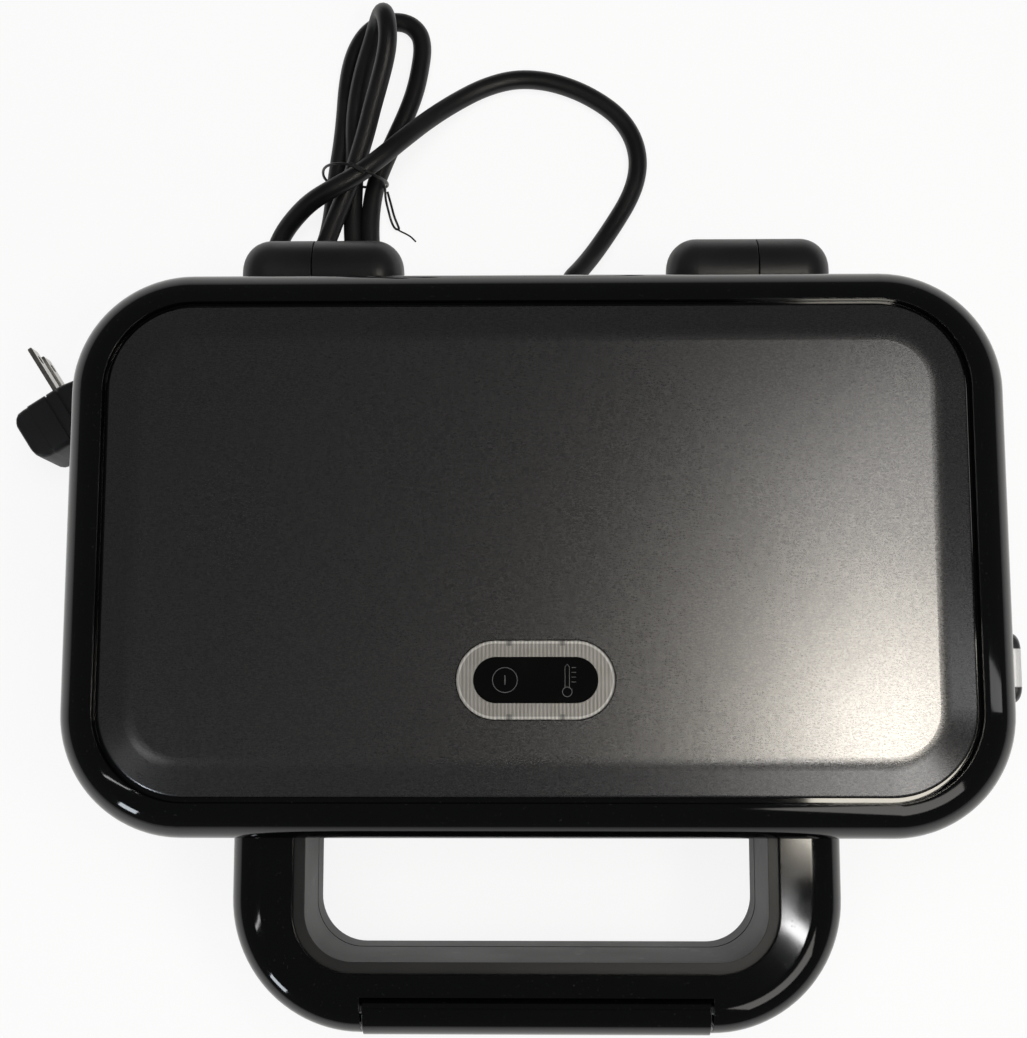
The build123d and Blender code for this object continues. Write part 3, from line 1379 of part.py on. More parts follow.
pin_end_x = heater_end_x - terminal_length - terminal_pin - seat
lower_pin_z = parting_z - heater_level
upper_pin_z = parting_z + heater_level
block_left_x = block_x - block_length / 2 - seat
block_right_x = block_x + block_length / 2 + seat
low_x = -plate_length / 2 - lower_wire_side
high_x = -plate_length / 2 - upper_wire_side
line_x = gland_x - core_offset
neutral_x = gland_x + core_offset
block_front_y = block_y - block_port
line_port_y = block_y + line_port
neutral_port_y = block_y + neutral_port
core_turn_y = cable_end_y - core_straight
lower_wires = [
    [(pin_end_x, heater_half_depth, lower_pin_z), (low_x, heater_half_depth, lower_pin_z),
     (low_x, heater_half_depth, lower_wire_z), (block_left_x, heater_half_depth, lower_wire_z)],
    [(pin_end_x, -heater_half_depth, lower_pin_z), (low_x, -heater_half_depth, lower_pin_z),
     (low_x, -heater_half_depth, lower_wire_z), (lower_wire_x, -heater_half_depth, lower_wire_z),
     (lower_wire_x, block_front_y, lower_wire_z), (block_left_x, block_front_y, lower_wire_z)],
    [(fuse_x - fuse_length / 2 - seat, fuse_y, fuse_z), (block_x - block_port, fuse_y, fuse_z),
     (block_x - block_port, fuse_y + fuse_wire_run, lower_wire_z),
     (block_x - block_port, block_y - block_width / 2 - seat, lower_wire_z)],
    [(line_x, cable_end_y - seat, gland_z), (line_x, core_turn_y, gland_z),
     (line_x, line_port_y, lower_wire_z), (block_right_x, line_port_y, lower_wire_z)],
    [(neutral_x, cable_end_y - seat, gland_z), (neutral_x, core_turn_y, gland_z),
     (neutral_x, neutral_port_y, lower_wire_z), (block_right_x, neutral_port_y, lower_wire_z)],
]
port_x = -thermostat_radius - seat
upper_wires = [
    [(port_x, thermostat_y + thermostat_port, upper_wire_z),
     (upper_wire_x, thermostat_y + thermostat_port, upper_wire_z),
     (upper_wire_x, heater_half_depth, upper_wire_z), (high_x, heater_half_depth, upper_wire_z),
     (high_x, heater_half_depth, upper_pin_z), (pin_end_x, heater_half_depth, upper_pin_z)],
    [(port_x, thermostat_y - thermostat_port, upper_wire_z),
     (upper_wire_x - upper_wire_spacing, thermostat_y - thermostat_port, upper_wire_z),
     (upper_wire_x - upper_wire_spacing, -heater_half_depth, upper_wire_z),
     (high_x, -heater_half_depth, upper_wire_z), (high_x, -heater_half_depth, upper_pin_z),
     (pin_end_x, -heater_half_depth, upper_pin_z)],
]
thermostat_front_y = thermostat_y - math.sqrt(thermostat_radius ** 2
                                              - (lamp_wire_gap - wire_radius) ** 2)
lamp_wires = [
    [(side * lamp_offset, indicator_y, holder_low_z - seat),
     (side * lamp_offset, indicator_y, upper_wire_z),
     (side * lamp_wire_gap, indicator_y + lamp_wire_run, upper_wire_z),
     (side * lamp_wire_gap, thermostat_front_y - seat, upper_wire_z)]
    for side in (-1, 1)
]
for name, wires, lead_route_part in (("lower_leads", lower_wires, base_lead_route),
                                     ("upper_leads", upper_wires, lid_lead_route),
                                     ("lamp_leads", lamp_wires, None)):
    with BuildPart() as leads:
        for route in wires:
            add(wire(route, wire_radius, wire_bend))
        if lead_route_part:
            add(wire(lead_route_part, lead_radius, lead_bend))
    save(leads.part, name)


# ------------------------------------------------------------------- mains cord
def cord_tube(route, name):
    """A cord along hand-chosen points, its corners rounded by tangent arcs."""
    points = [Vector(*p) for p in route]
    radii = []
    for before, corner, after in zip(points, points[1:], points[2:]):
        near, far = corner - before, after - corner
        turn = math.radians(near.get_angle(far))
        radii.append(min(arc_share * min(near.length, far.length) / math.tan(turn / 2), arc_limit))
    with BuildPart() as tube:
        with BuildLine() as line:
            FilletPolyline(*points, radius=radii)
        with BuildSketch(Plane(line.line @ 0, z_dir=line.line % 0)):
            Circle(cord_radius)
        sweep(path=line.line)
    length = sum(edge.length for edge in line.line.edges())
    section = math.pi * cord_radius ** 2
    print(name, "arc radii", [round(r, 1) for r in radii], "length", round(length, 1),
          "volume share", round(tube.part.volume / (section * length), 4))
    save(tube.part, name)


face_turn = math.radians(plug_turn)
face_dir = Vector(math.cos(face_turn), math.sin(face_turn), 0)
depth_dir = Vector(math.sin(face_turn), -math.cos(face_turn), 0)
plug_corner = Vector(plug_corner_x, plug_corner_y, 0)
plug_mid_z = plug_foot + plug_height / 2
plug_end = plug_corner + face_dir * plug_width + depth_dir * (plug_body_depth / 2)

cord_tube([(gland_x, gland_end_y, gland_z)] + lead_route, "cord_lead")
cord_tube(tail_route + [(plug_end.X, plug_end.Y, plug_mid_z)], "cord_tail")

with BuildPart() as cord_hank:
    with BuildSketch(Plane.XY.offset(hank_bottom_z)):
        with BuildLine():
            Polyline(*hank_outline, close=True)
        make_face()
    extrude(amount=hank_top_z - hank_bottom_z)
    fillet(cord_hank.edges().filter_by(Axis.Z), hank_corner)
    fillet(cord_hank.edges().group_by(Axis.Z)[-1], cord_radius)
save(cord_hank.part, "cord_hank")

with BuildPart() as cord_tie:
    with BuildSketch(Plane(((tie_low_x + tie_high_x) / 2, tie_y - tie_width / 2,
                            (tie_bottom_z + tie_top_z) / 2), x_dir=(1, 0, 0), z_dir=(0, 1, 0))):
        RectangleRounded(tie_high_x - tie_low_x, tie_top_z - tie_bottom_z, tie_corner)
        RectangleRounded(tie_high_x - tie_low_x - 2 * tie_sheet,
                         tie_top_z - tie_bottom_z - 2 * tie_sheet, tie_corner - tie_sheet,
                         mode=Mode.SUBTRACT)
    extrude(amount=tie_width)
save(cord_tie.part, "cord_tie")

plug_plane = Plane(plug_corner + Vector(0, 0, plug_foot), x_dir=face_dir, z_dir=(0, 0, 1))
blade_heights = (-blade_spacing / 2, blade_spacing / 2)


def blade_boxes():
    with BuildPart() as blades:
        with BuildSketch(Plane(plug_corner + face_dir * blade_from_corner + depth_dir * blade_root
                               + Vector(0, 0, plug_mid_z), x_dir=face_dir, z_dir=-depth_dir)):
            with Locations(*[(0, height) for height in blade_heights]):
                Rectangle(blade_thickness, blade_width)
        extrude(amount=blade_root + blade_length)
    return blades.part


with BuildPart() as plug_body:
    with BuildSketch(plug_plane):
        with Locations((plug_width / 2, -plug_body_depth / 2)):
            RectangleRounded(plug_width, plug_body_depth, plug_round)
    extrude(amount=plug_height)
    fillet(plug_body.edges().group_by(Axis.Z)[-1], plug_edge)
    fillet(plug_body.edges().group_by(Axis.Z)[0], plug_edge)
    with BuildPart(mode=Mode.PRIVATE) as bands:
        with BuildSketch(plug_plane):
            for distance in plug_bands:
                with Locations((distance, -plug_body_depth / 2)):
                    Rectangle(plug_groove, 2 * plug_body_depth)
            with Locations((plug_width / 2, -plug_body_depth / 2)):
                RectangleRounded(plug_width, plug_body_depth - 2 * plug_groove,
                                 plug_round - plug_groove, mode=Mode.SUBTRACT)
        extrude(amount=plug_height)
    add(bands.part, mode=Mode.SUBTRACT)
    add(blade_boxes(), mode=Mode.SUBTRACT)
save(plug_body.part, "plug_body")
save(blade_boxes(), "plug_blades")
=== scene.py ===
import math

import bmesh
import bpy
from mathutils import Matrix, Vector


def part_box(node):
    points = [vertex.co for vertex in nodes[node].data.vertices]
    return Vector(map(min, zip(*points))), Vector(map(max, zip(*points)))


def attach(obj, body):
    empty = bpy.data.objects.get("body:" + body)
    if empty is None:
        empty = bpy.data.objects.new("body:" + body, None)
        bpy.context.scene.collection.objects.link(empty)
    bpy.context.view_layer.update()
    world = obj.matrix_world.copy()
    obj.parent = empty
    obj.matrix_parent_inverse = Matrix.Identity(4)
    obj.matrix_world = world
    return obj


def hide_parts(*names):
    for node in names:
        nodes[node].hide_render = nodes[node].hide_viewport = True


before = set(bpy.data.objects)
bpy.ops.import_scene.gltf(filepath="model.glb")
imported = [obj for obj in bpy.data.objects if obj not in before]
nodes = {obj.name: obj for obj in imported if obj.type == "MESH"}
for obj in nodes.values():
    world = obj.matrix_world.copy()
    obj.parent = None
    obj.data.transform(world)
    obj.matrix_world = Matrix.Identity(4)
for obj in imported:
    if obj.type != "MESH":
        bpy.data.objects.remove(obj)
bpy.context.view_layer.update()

# Lengths in this script are millimetres in the sandwich maker's own frame: X to the right,
# Y to the hinges, Z up from the table, with the housing's middle at X = Y = 0. at() turns
# them into the frame's metres.
MM = 0.001
panel_low, panel_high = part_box("lid_panel")
middle = (panel_low + panel_high) / 2
window_low, window_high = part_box("indicator_lens")
window_y = ((window_low.y + window_high.y) / 2 - middle.y) / MM


def at(x, y, z):
    """A point given in the sandwich maker's millimetres, in the frame's metres."""
    return Vector((middle.x + x * MM, middle.y + y * MM, z * MM))


def low_of(node):
    """A CAD node's lowest corner, in the sandwich maker's millimetres."""
    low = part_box(node)[0]
    return Vector(((low.x - middle.x) / MM, (low.y - middle.y) / MM, low.z / MM))


def high_of(node):
    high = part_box(node)[1]
    return Vector(((high.x - middle.x) / MM, (high.y - middle.y) / MM, high.z / MM))


# ------------------------------------------------------------------------- camera
camera_data = bpy.data.cameras.new("view")
camera = bpy.data.objects.new("view", camera_data)
bpy.context.scene.collection.objects.link(camera)
camera.location = at(0.0, -41.4, 500.0)
camera.rotation_euler = (math.radians(6.95), math.radians(0.865), 0.0)
camera_data.sensor_fit = "VERTICAL"
camera_data.sensor_height = 36.0
camera_data.lens = 50.65
camera_data.clip_start = 0.01
camera_data.clip_end = 20.0
bpy.context.scene.camera = camera
bpy.context.scene.view_settings.view_transform = "Standard"

# ---------------------------------------------------------------------- mains flex
flex_radius = 3.25
gland_low, gland_high = low_of("cord_gland"), high_of("cord_gland")
gland_x = (gland_low.x + gland_high.x) / 2
gland_z = (gland_low.z + gland_high.z) / 2
flex_exit = (gland_x, gland_high.y, gland_z)
flex_start = (gland_x, gland_high.y - 3.0, gland_z)

lead_route = [
    (11.4, 99.2, 15.2),
    (15.6, 104.4, 11.4),
    (20.0, 110.8, 7.4),
    (24.3, 117.6, 4.8),
    (28.8, 124.8, 3.6),
    (33.0, 132.0, 3.4),
    (35.8, 139.4, 3.3),
    (36.6, 147.2, 3.4),
    (34.6, 155.4, 3.3),
    (29.8, 162.6, 3.4),
    (22.8, 168.2, 3.3),
    (14.2, 172.9, 3.3),
    (4.0, 176.1, 3.4),
    (-7.0, 176.8, 3.4),
    (-17.8, 173.6, 3.9),
    (-28.0, 167.4, 5.6),
    (-37.6, 159.2, 9.6),
    (-46.2, 150.0, 14.4),
    (-54.0, 141.8, 17.6),
    (-62.0, 135.4, 18.4),
    (-70.0, 131.2, 18.0),
    (-77.0, 128.0, 15.2),
    (-83.0, 123.9, 11.0),
    (-88.2, 118.8, 7.0),
    (-91.8, 111.4, 4.2),
    (-93.4, 103.4, 3.3),
]
hank_route = [
    # Wide turn under the hinge
    (-93.2, 95.0, 3.3),
    (-90.0, 87.6, 3.3),
    (-83.4, 83.2, 3.3),
    (-75.0, 82.0, 3.3),
    (-66.6, 82.8, 3.3),
    (-59.8, 87.0, 3.3),
    (-56.0, 94.0, 3.3),
    (-55.8, 102.6, 3.3),
    (-57.2, 111.4, 3.3),
    (-58.0, 120.6, 3.3),
    (-57.6, 130.2, 3.3),
    (-55.9, 139.2, 3.3),
    (-52.6, 147.6, 3.4),
    (-48.8, 156.2, 3.3),
    (-45.2, 164.4, 3.4),
    (-42.3, 172.8, 3.3),
    (-40.6, 181.4, 3.4),
    # Round the wider loop
    (-39.8, 188.6, 3.4),
    (-41.0, 194.0, 3.5),
    (-45.4, 198.0, 3.4),
    (-52.0, 198.4, 3.5),
    (-58.2, 195.8, 3.4),
    (-62.4, 190.6, 3.3),
    (-65.2, 183.2, 3.4),
    (-66.7, 173.6, 3.3),
    (-67.2, 163.4, 3.3),
    (-68.1, 153.2, 3.4),
    (-69.5, 143.4, 3.3),
    (-70.6, 134.0, 3.3),
    (-71.4, 125.2, 3.3),
    (-73.2, 116.6, 3.3),
    # Narrower turn under the hinge, inside the wide one
    (-77.4, 108.6, 3.3),
    (-82.8, 101.8, 3.3),
    (-83.8, 94.6, 3.3),
    (-78.8, 89.6, 3.3),
    (-71.6, 88.9, 3.3),
    (-65.2, 92.0, 3.3),
    (-62.6, 99.2, 3.3),
    (-63.0, 108.6, 3.3),
    (-63.9, 118.6, 3.3),
    (-64.1, 128.6, 3.4),
    (-63.6, 138.6, 4.8),
    (-63.1, 148.4, 7.2),
    (-63.2, 157.8, 8.6),
    (-62.2, 167.2, 9.4),
    (-60.5, 176.0, 9.8),
    (-58.7, 182.6, 9.9),
    (-57.0, 188.0, 10.2),
    # Fold of the narrow loop, its second side lying on the first
    (-55.2, 192.8, 12.6),
    (-53.1, 194.8, 18.4),
    (-51.3, 191.8, 24.2),
    (-50.1, 186.0, 26.0),
    (-50.1, 180.4, 25.4),
    (-51.2, 175.0, 23.6),
    (-53.4, 168.2, 20.8),
    (-56.0, 161.0, 17.6),
    (-58.2, 153.8, 14.8),
    (-60.6, 146.2, 13.4),
    (-63.2, 138.8, 11.4),
    (-66.0, 131.6, 10.4),
    (-69.2, 123.6, 9.9),
    (-72.2, 115.0, 9.9),
    (-76.2, 106.6, 10.0),
    (-81.0, 100.4, 10.0),
]
tail_route = [
    (-86.8, 96.2, 10.0),
    (-93.8, 92.2, 9.6),
    (-101.6, 88.4, 6.6),
    (-110.0, 85.0, 4.0),
    (-118.5, 80.8, 4.0),
    (-126.2, 75.4, 6.0),
    (-133.6, 68.6, 9.6),
]
plug_low, plug_high = low_of("plug_body"), high_of("plug_body")
plug_turn = math.radians(33.0)
face_way = Vector((math.cos(plug_turn), math.sin(plug_turn), 0.0))
depth_way = Vector((math.sin(plug_turn), -math.cos(plug_turn), 0.0))
plug_corner = Vector((-174.7, 51.3, 0.0))
plug_width, plug_depth = 34.0, 19.0
plug_middle_z = (plug_low.z + plug_high.z) / 2
plug_exit = plug_corner + face_way * plug_width + depth_way * (plug_depth / 2)
plug_exit.z = plug_middle_z

flex_data = bpy.data.curves.new("flex", "CURVE")
flex_data.dimensions = "3D"
flex_line = flex_data.splines.new("NURBS")
flex_points = [flex_start] + lead_route + hank_route + tail_route + [tuple(plug_exit)]
flex_line.points.add(len(flex_points) - 1)
for point, place in zip(flex_line.points, flex_points):
    point.co = (*at(*place), 1.0)
    point.radius = flex_radius * MM
flex_line.order_u = 3
flex_line.use_endpoint_u = True
flex_line.resolution_u = 6
flex_data.bevel_depth = 1.0
flex_data.bevel_resolution = 6
flex_data.use_fill_caps = True
flex = bpy.data.objects.new("flex", flex_data)
bpy.context.scene.collection.objects.link(flex)
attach(flex, "base")
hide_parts("cord_lead", "cord_hank", "cord_tail")


# ----------------------------------------------------------------- shader building
class Value:
    """A number that varies over a surface; sums with it add the Math nodes."""

    def __init__(self, finish, socket):
        self.finish = finish
        self.socket = socket

    def _math(self, operation, *terms):
        node = self.finish.add("ShaderNodeMath", {"operation": operation},
                               dict(enumerate(terms)))
        return Value(self.finish, node.outputs[0])

    def __add__(self, other):
        return self._math("ADD", self, other)

    def __radd__(self, other):
        return self._math("ADD", other, self)

    def __sub__(self, other):
        return self._math("SUBTRACT", self, other)

    def __rsub__(self, other):
        return self._math("SUBTRACT", other, self)

    def __mul__(self, other):
        return self._math("MULTIPLY", self, other)

    def __rmul__(self, other):
        return self._math("MULTIPLY", other, self)

    def __truediv__(self, other):
        return self._math("DIVIDE", self, other)

    def __pow__(self, other):
        return self._math("POWER", self, other)

    def __abs__(self):
        return self._math("ABSOLUTE", self)

    def __gt__(self, other):
        return self._math("GREATER_THAN", self, other)

    def __lt__(self, other):
        return self._math("LESS_THAN", self, other)

    def most(self, other):
        return self._math("MAXIMUM", self, other)

    def sine(self):
        return self._math("SINE", self)

    def root(self):
        return self._math("SQRT", self)

    def ramp(self, start, end, low=0.0, high=1.0):
        """Goes from low at start to high at end, smoothly, and stays there."""
        node = self.finish.add("ShaderNodeMapRange", {"interpolation_type": "SMOOTHSTEP"},
                               {0: self, 1: start, 2: end, 3: low, 4: high})
        return Value(self.finish, node.outputs[0])


class Finish:
    """One procedural material, with what its pattern is built from."""

    def __init__(self, name):
        self.material = bpy.data.materials.new(name)
        self.material.use_nodes = True
        self.tree = self.material.node_tree
        self.tree.nodes.clear()
        self.skin = self.add("ShaderNodeBsdfPrincipled")
        output = self.add("ShaderNodeOutputMaterial")
        self.tree.links.new(self.skin.outputs[0], output.inputs[0])
        self.place = self.add("ShaderNodeTexCoord").outputs["Object"]

    def add(self, kind, settings=None, values=None):
        """Adds any node: its settings first, then its inputs' values or links."""
        node = self.tree.nodes.new(kind)
        for name, value in (settings or {}).items():
            setattr(node, name, value)
        for name, value in (values or {}).items():
            if isinstance(value, Value):
                self.tree.links.new(value.socket, node.inputs[name])
            elif isinstance(value, bpy.types.NodeSocket):
                self.tree.links.new(value, node.inputs[name])
            else:
                node.inputs[name].default_value = value
        return node

    def axis(self, name):
        """One coordinate of the surface point, in metres."""
        parts = self.add("ShaderNodeSeparateXYZ", {}, {0: self.place})
        return Value(self, parts.outputs[name])

    def stretched(self, x, y, z):
        """The surface point with each direction scaled, for brushed or drawn grain."""
        node = self.add("ShaderNodeMapping", {}, {"Vector": self.place, "Scale": (x, y, z)})
        return node.outputs[0]

    def noise(self, scale, detail=2.0, where=None, rough=0.5):
        node = self.add("ShaderNodeTexNoise", {},
                        {"Vector": where or self.place, "Scale": scale, "Detail": detail,
                         "Roughness": rough})
        return Value(self, node.outputs[0])

    def cells(self, scale, where=None):
        node = self.add("ShaderNodeTexVoronoi", {}, {"Vector": where or self.place,
                                                     "Scale": scale})
        return Value(self, node.outputs[0])

    def blend(self, share, first, second):
        """A colour between two colours."""
        node = self.add("ShaderNodeMix", {"data_type": "RGBA"}, {0: share})
        for slot, colour in ((6, first), (7, second)):
            if isinstance(colour, bpy.types.NodeSocket):
                self.tree.links.new(colour, node.inputs[slot])
            else:
                node.inputs[slot].default_value = (*colour, 1.0)
        return node.outputs[2]

    def set(self, **values):
        """Sets or links the Principled shader's own sockets, named in lower case."""
        for name, value in values.items():
            socket = self.skin.inputs[name.replace("_", " ").title().replace("Ior", "IOR")]
            if isinstance(value, Value):
                self.tree.links.new(value.socket, socket)
            elif isinstance(value, bpy.types.NodeSocket):
                self.tree.links.new(value, socket)
            elif isinstance(value, tuple) and len(value) == 3:
                socket.default_value = (*value, 1.0)
            else:
                socket.default_value = value

    def bump(self, height, depth, strength=1.0, under=None):
        """Feeds the normal with a height in millimetres of relief."""
        values = {"Height": height, "Distance": depth * MM, "Strength": strength}
        if under:
            values["Normal"] = under
        node = self.add("ShaderNodeBump", {}, values)
        self.tree.links.new(node.outputs[0], self.skin.inputs["Normal"])
        return node.outputs[0]

    def soft_edges(self, radius, samples=4):
        """Rounds the look of sharp edges by a small radius in millimetres."""
        node = self.add("ShaderNodeBevel", {"samples": samples}, {"Radius": radius * MM})
        self.tree.links.new(node.outputs[0], self.skin.inputs["Normal"])
        return node.outputs[0]


# ------------------------------------------------------------------------ finishes
def gloss_black(name="gloss_black_plastic"):
    finish = Finish(name)
    smear = finish.noise(26.0, 4.0).ramp(0.52, 0.72)
    dust = (finish.noise(1400.0, 1.0) > 0.74) * 0.5
    speck = finish.noise(60.0, 6.0, rough=0.7).ramp(0.6, 0.8)
    colour = finish.blend(speck * 0.5, (0.0010, 0.0011, 0.0014), (0.0026, 0.0026, 0.0030))
    finish.set(base_color=finish.blend(dust * 0.10, colour, (0.20, 0.20, 0.21)),
               roughness=0.055 + smear * 0.07 + dust * 0.12, ior=1.5, specular_ior_level=0.5)
    edges = finish.soft_edges(0.5)
    finish.bump(finish.noise(55.0, 2.0), 0.05, 0.35, edges)
    return finish.material


def moulded(name, dark, light, roughness, grain=900.0, relief=0.05, round_edge=0.4):
    """A matt or satin moulding with a fine spark-eroded texture."""
    finish = Finish(name)
    patch = finish.noise(32.0, 3.0).ramp(0.35, 0.7)
    rub = finish.noise(140.0, 5.0, rough=0.65).ramp(0.58, 0.75)
    finish.set(base_color=finish.blend(patch * 0.7 + rub * 0.3, dark, light),
               roughness=roughness + patch * 0.06 - rub * 0.07)
    edges = finish.soft_edges(round_edge)
    finish.bump(finish.cells(grain) + finish.noise(grain * 0.6, 2.0) * 0.6, relief, 0.5, edges)
    return finish.material


def window_distance(finish):
    """How far a point lies outside the indicator ring's rim, in metres."""
    ring_length, ring_width = 42.8 * MM, 20.8 * MM
    radius = ring_width / 2
    along = (abs(finish.axis(0) - (window_low.x + window_high.x) / 2)
             - (ring_length / 2 - radius)).most(0.0)
    across = finish.axis(1) - (window_low.y + window_high.y) / 2
    return (along * along + across * across).root() - radius


def dark_brushed_steel():
    finish = Finish("dark_brushed_steel")
    short_grain = finish.noise(1.0, 2.0, finish.stretched(900.0, 3600.0, 3600.0), 0.65)
    speck = finish.noise(2900.0, 1.0)
    grain = short_grain * 0.55 + speck * 0.45
    cloud = finish.noise(14.0, 3.0).ramp(0.3, 0.75)
    tint = finish.blend(grain.ramp(0.35, 0.68), (0.125, 0.125, 0.131), (0.220, 0.218, 0.220))
    # Painted shadow: a thin near-black band round the indicator ring, standing in for the shade in
    # the gap between ring and panel.
    painted_gap_shade = abs(window_distance(finish) - 0.15 * MM) < 0.45 * MM
    clouded = finish.blend(cloud * 0.35, tint, (0.130, 0.129, 0.132))
    finish.set(base_color=finish.blend(painted_gap_shade * 0.85, clouded, (0.004, 0.004, 0.005)),
               metallic=0.98, roughness=0.22 + grain * 0.10 + cloud * 0.03)
    finish.bump(grain, 0.02, 0.35)
    return finish.material


def ribbed_silver():
    """The indicator's ring: fine upright ribs, four small marks and a painted highlight along its
    rim.
    """
    finish = Finish("ribbed_silver")
    x, y = finish.axis(0), finish.axis(1)
    rib = ((x - middle.x) * (2.0 * math.pi / (1.05 * MM))).sine()
    mark_x = abs(abs(x - middle.x) - 7.3 * MM) < 0.75 * MM
    mark_y = abs(y - (middle.y + window_y * MM)) > 9.3 * MM
    mark = mark_x * mark_y
    haze = finish.noise(160.0, 3.0).ramp(0.3, 0.8)
    silver = finish.blend(haze * 0.5 + rib * 0.12, (0.21, 0.20, 0.185), (0.30, 0.29, 0.275))
    # Painted highlight: the ring's outer edge, within half a millimetre of its rim, is painted
    # lighter as a bright outline.
    painted_rim_highlight = window_distance(finish) > -0.5 * MM
    rim_highlighted_silver = finish.blend(painted_rim_highlight * 0.8, silver, (0.48, 0.47, 0.45))
    finish.set(base_color=finish.blend(mark * 0.6, rim_highlighted_silver, (0.05, 0.05, 0.05)), metallic=0.35,
               roughness=0.42 + haze * 0.08)
    finish.bump(rib * 0.5 + mark * -1.5, 0.06, 0.7)
    return finish.material


def lens_black():
    finish = Finish("lens_black")
    smear = finish.noise(70.0, 4.0).ramp(0.5, 0.75)
    finish.set(base_color=finish.blend(smear * 0.4, (0.0012, 0.0012, 0.0012),
                                       (0.003, 0.003, 0.003)),
               roughness=0.04 + smear * 0.06, specular_ior_level=0.35)
    finish.bump(finish.noise(40.0, 1.0), 0.03, 0.2)
    return finish.material


def symbol_grey():
    finish = Finish("symbol_grey")
    wear = finish.noise(900.0, 3.0)
    finish.set(base_color=finish.blend(wear, (0.055, 0.055, 0.056), (0.12, 0.12, 0.12)),
               roughness=0.3 + wear * 0.2)
    finish.bump(wear, 0.01, 0.3)
    return finish.material


def button_paint():
    """Silver paint on the button's middle; its curved ends darkened as a painted dark reflection.
    """
    finish = Finish("button_paint")
    y = finish.axis(1)
    catch_y = middle.y - 33.0 * MM
    # Painted reflection: the button's curved ends are painted near black, for the dark surroundings
    # they would mirror.
    ends = abs(y - catch_y).ramp(5.3 * MM, 5.7 * MM)
    fleck = finish.noise(2600.0, 1.0)
    wear = finish.noise(240.0, 4.0).ramp(0.55, 0.75)
    silver = finish.blend(fleck * 0.6 + wear * 0.3, (0.62, 0.625, 0.63), (0.78, 0.785, 0.79))
    finish.set(base_color=finish.blend(ends, silver, (0.03, 0.03, 0.032)),
               metallic=(1.0 - ends) * 0.15, roughness=0.30 + wear * 0.12)
    edges = finish.soft_edges(0.3)
    finish.bump(fleck, 0.01, 0.3, edges)
    return finish.material


def plated_steel(name="plated_steel", dark=(0.34, 0.345, 0.35), light=(0.56, 0.565, 0.57),
                 roughness=0.28):
    finish = Finish(name)
    bloom = finish.noise(300.0, 4.0, rough=0.7).ramp(0.35, 0.75)
    scratch = finish.noise(1.0, 2.0, finish.stretched(900.0, 900.0, 6000.0)).ramp(0.62, 0.7)
    finish.set(base_color=finish.blend(bloom, dark, light), metallic=1.0,
               roughness=roughness + bloom * 0.12 + scratch * 0.08)
    edges = finish.soft_edges(0.15)
    finish.bump(bloom + scratch * 0.5, 0.02, 0.4, edges)
    return finish.material


def heated_steel():
    finish = Finish("heated_steel")
    along = finish.noise(22.0, 3.0).ramp(0.3, 0.7)
    scale = finish.noise(700.0, 4.0, rough=0.7)
    warm = finish.blend(along, (0.16, 0.13, 0.115), (0.27, 0.25, 0.24))
    finish.set(base_color=finish.blend(scale * 0.4, warm, (0.09, 0.08, 0.09)), metallic=0.9,
               roughness=0.38 + scale * 0.22)
    finish.bump(scale, 0.03, 0.4)
    return finish.material


def rolled_sheet():
    finish = Finish("rolled_sheet")
    grain = finish.noise(1.0, 2.0, finish.stretched(60.0, 2400.0, 2400.0))
    bloom = finish.noise(40.0, 4.0).ramp(0.3, 0.75)
    finish.set(base_color=finish.blend(bloom * 0.7, (0.62, 0.62, 0.63), (0.44, 0.43, 0.42)),
               metallic=1.0, roughness=0.26 + grain * 0.16 + bloom * 0.1)
    finish.bump(grain, 0.02, 0.4, finish.soft_edges(0.15))
    return finish.material


def non_stick():
    """Dark sprayed coating: a fine orange peel with mineral flecks, rubbed on the ridges."""
    finish = Finish("non_stick")
    fleck = finish.noise(1900.0, 1.0) > 0.70
    cloud = finish.noise(30.0, 3.0).ramp(0.3, 0.7)
    rub = finish.noise(120.0, 5.0, rough=0.7).ramp(0.6, 0.78)
    coat = finish.blend(cloud, (0.017, 0.017, 0.018), (0.030, 0.029, 0.030))
    finish.set(base_color=finish.blend(fleck * 0.25 + rub * 0.1, coat, (0.16, 0.16, 0.17)),
               roughness=0.33 + cloud * 0.08 - rub * 0.06)
    finish.bump(finish.noise(850.0, 2.0), 0.05, 0.5, finish.soft_edges(0.6))
    return finish.material


def ceramic():
    finish = Finish("ceramic")
    pore = finish.cells(1500.0).ramp(0.0, 0.35)
    stain = finish.noise(200.0, 4.0).ramp(0.5, 0.8)
    finish.set(base_color=finish.blend(stain * 0.5, (0.72, 0.70, 0.64), (0.55, 0.50, 0.42)),
               roughness=0.62 + pore * 0.15)
    finish.bump(pore, 0.04, 0.5, finish.soft_edges(0.2))
    return finish.material


def sleeve():
    """Braided heatproof sleeving on the leads."""
    finish = Finish("braided_sleeve")
    x, y, z = finish.axis(0), finish.axis(1), finish.axis(2)
    pitch = 2.0 * math.pi / (0.9 * MM)
    braid = ((x + y + z) * pitch).sine() * ((x - y + z) * pitch).sine()
    soil = finish.noise(120.0, 3.0)
    finish.set(base_color=finish.blend(soil, (0.70, 0.68, 0.62), (0.56, 0.54, 0.48)),
               roughness=0.7 + braid * 0.1)
    finish.bump(braid, 0.08, 0.5)
    return finish.material


def sheath():
    """The flex's satin black sheath, with faint drawing lines and dust."""
    finish = Finish("flex_sheath")
    haze = finish.noise(45.0, 4.0).ramp(0.35, 0.7)
    dust = finish.noise(1600.0, 2.0) > 0.76
    colour = finish.blend(haze * 0.8, (0.004, 0.004, 0.0045), (0.009, 0.009, 0.0095))
    finish.set(base_color=finish.blend(dust * 0.12, colour, (0.35, 0.34, 0.33)),
               roughness=0.40 + haze * 0.10)
    finish.bump(finish.noise(420.0, 3.0), 0.06, 0.35)
    return finish.material


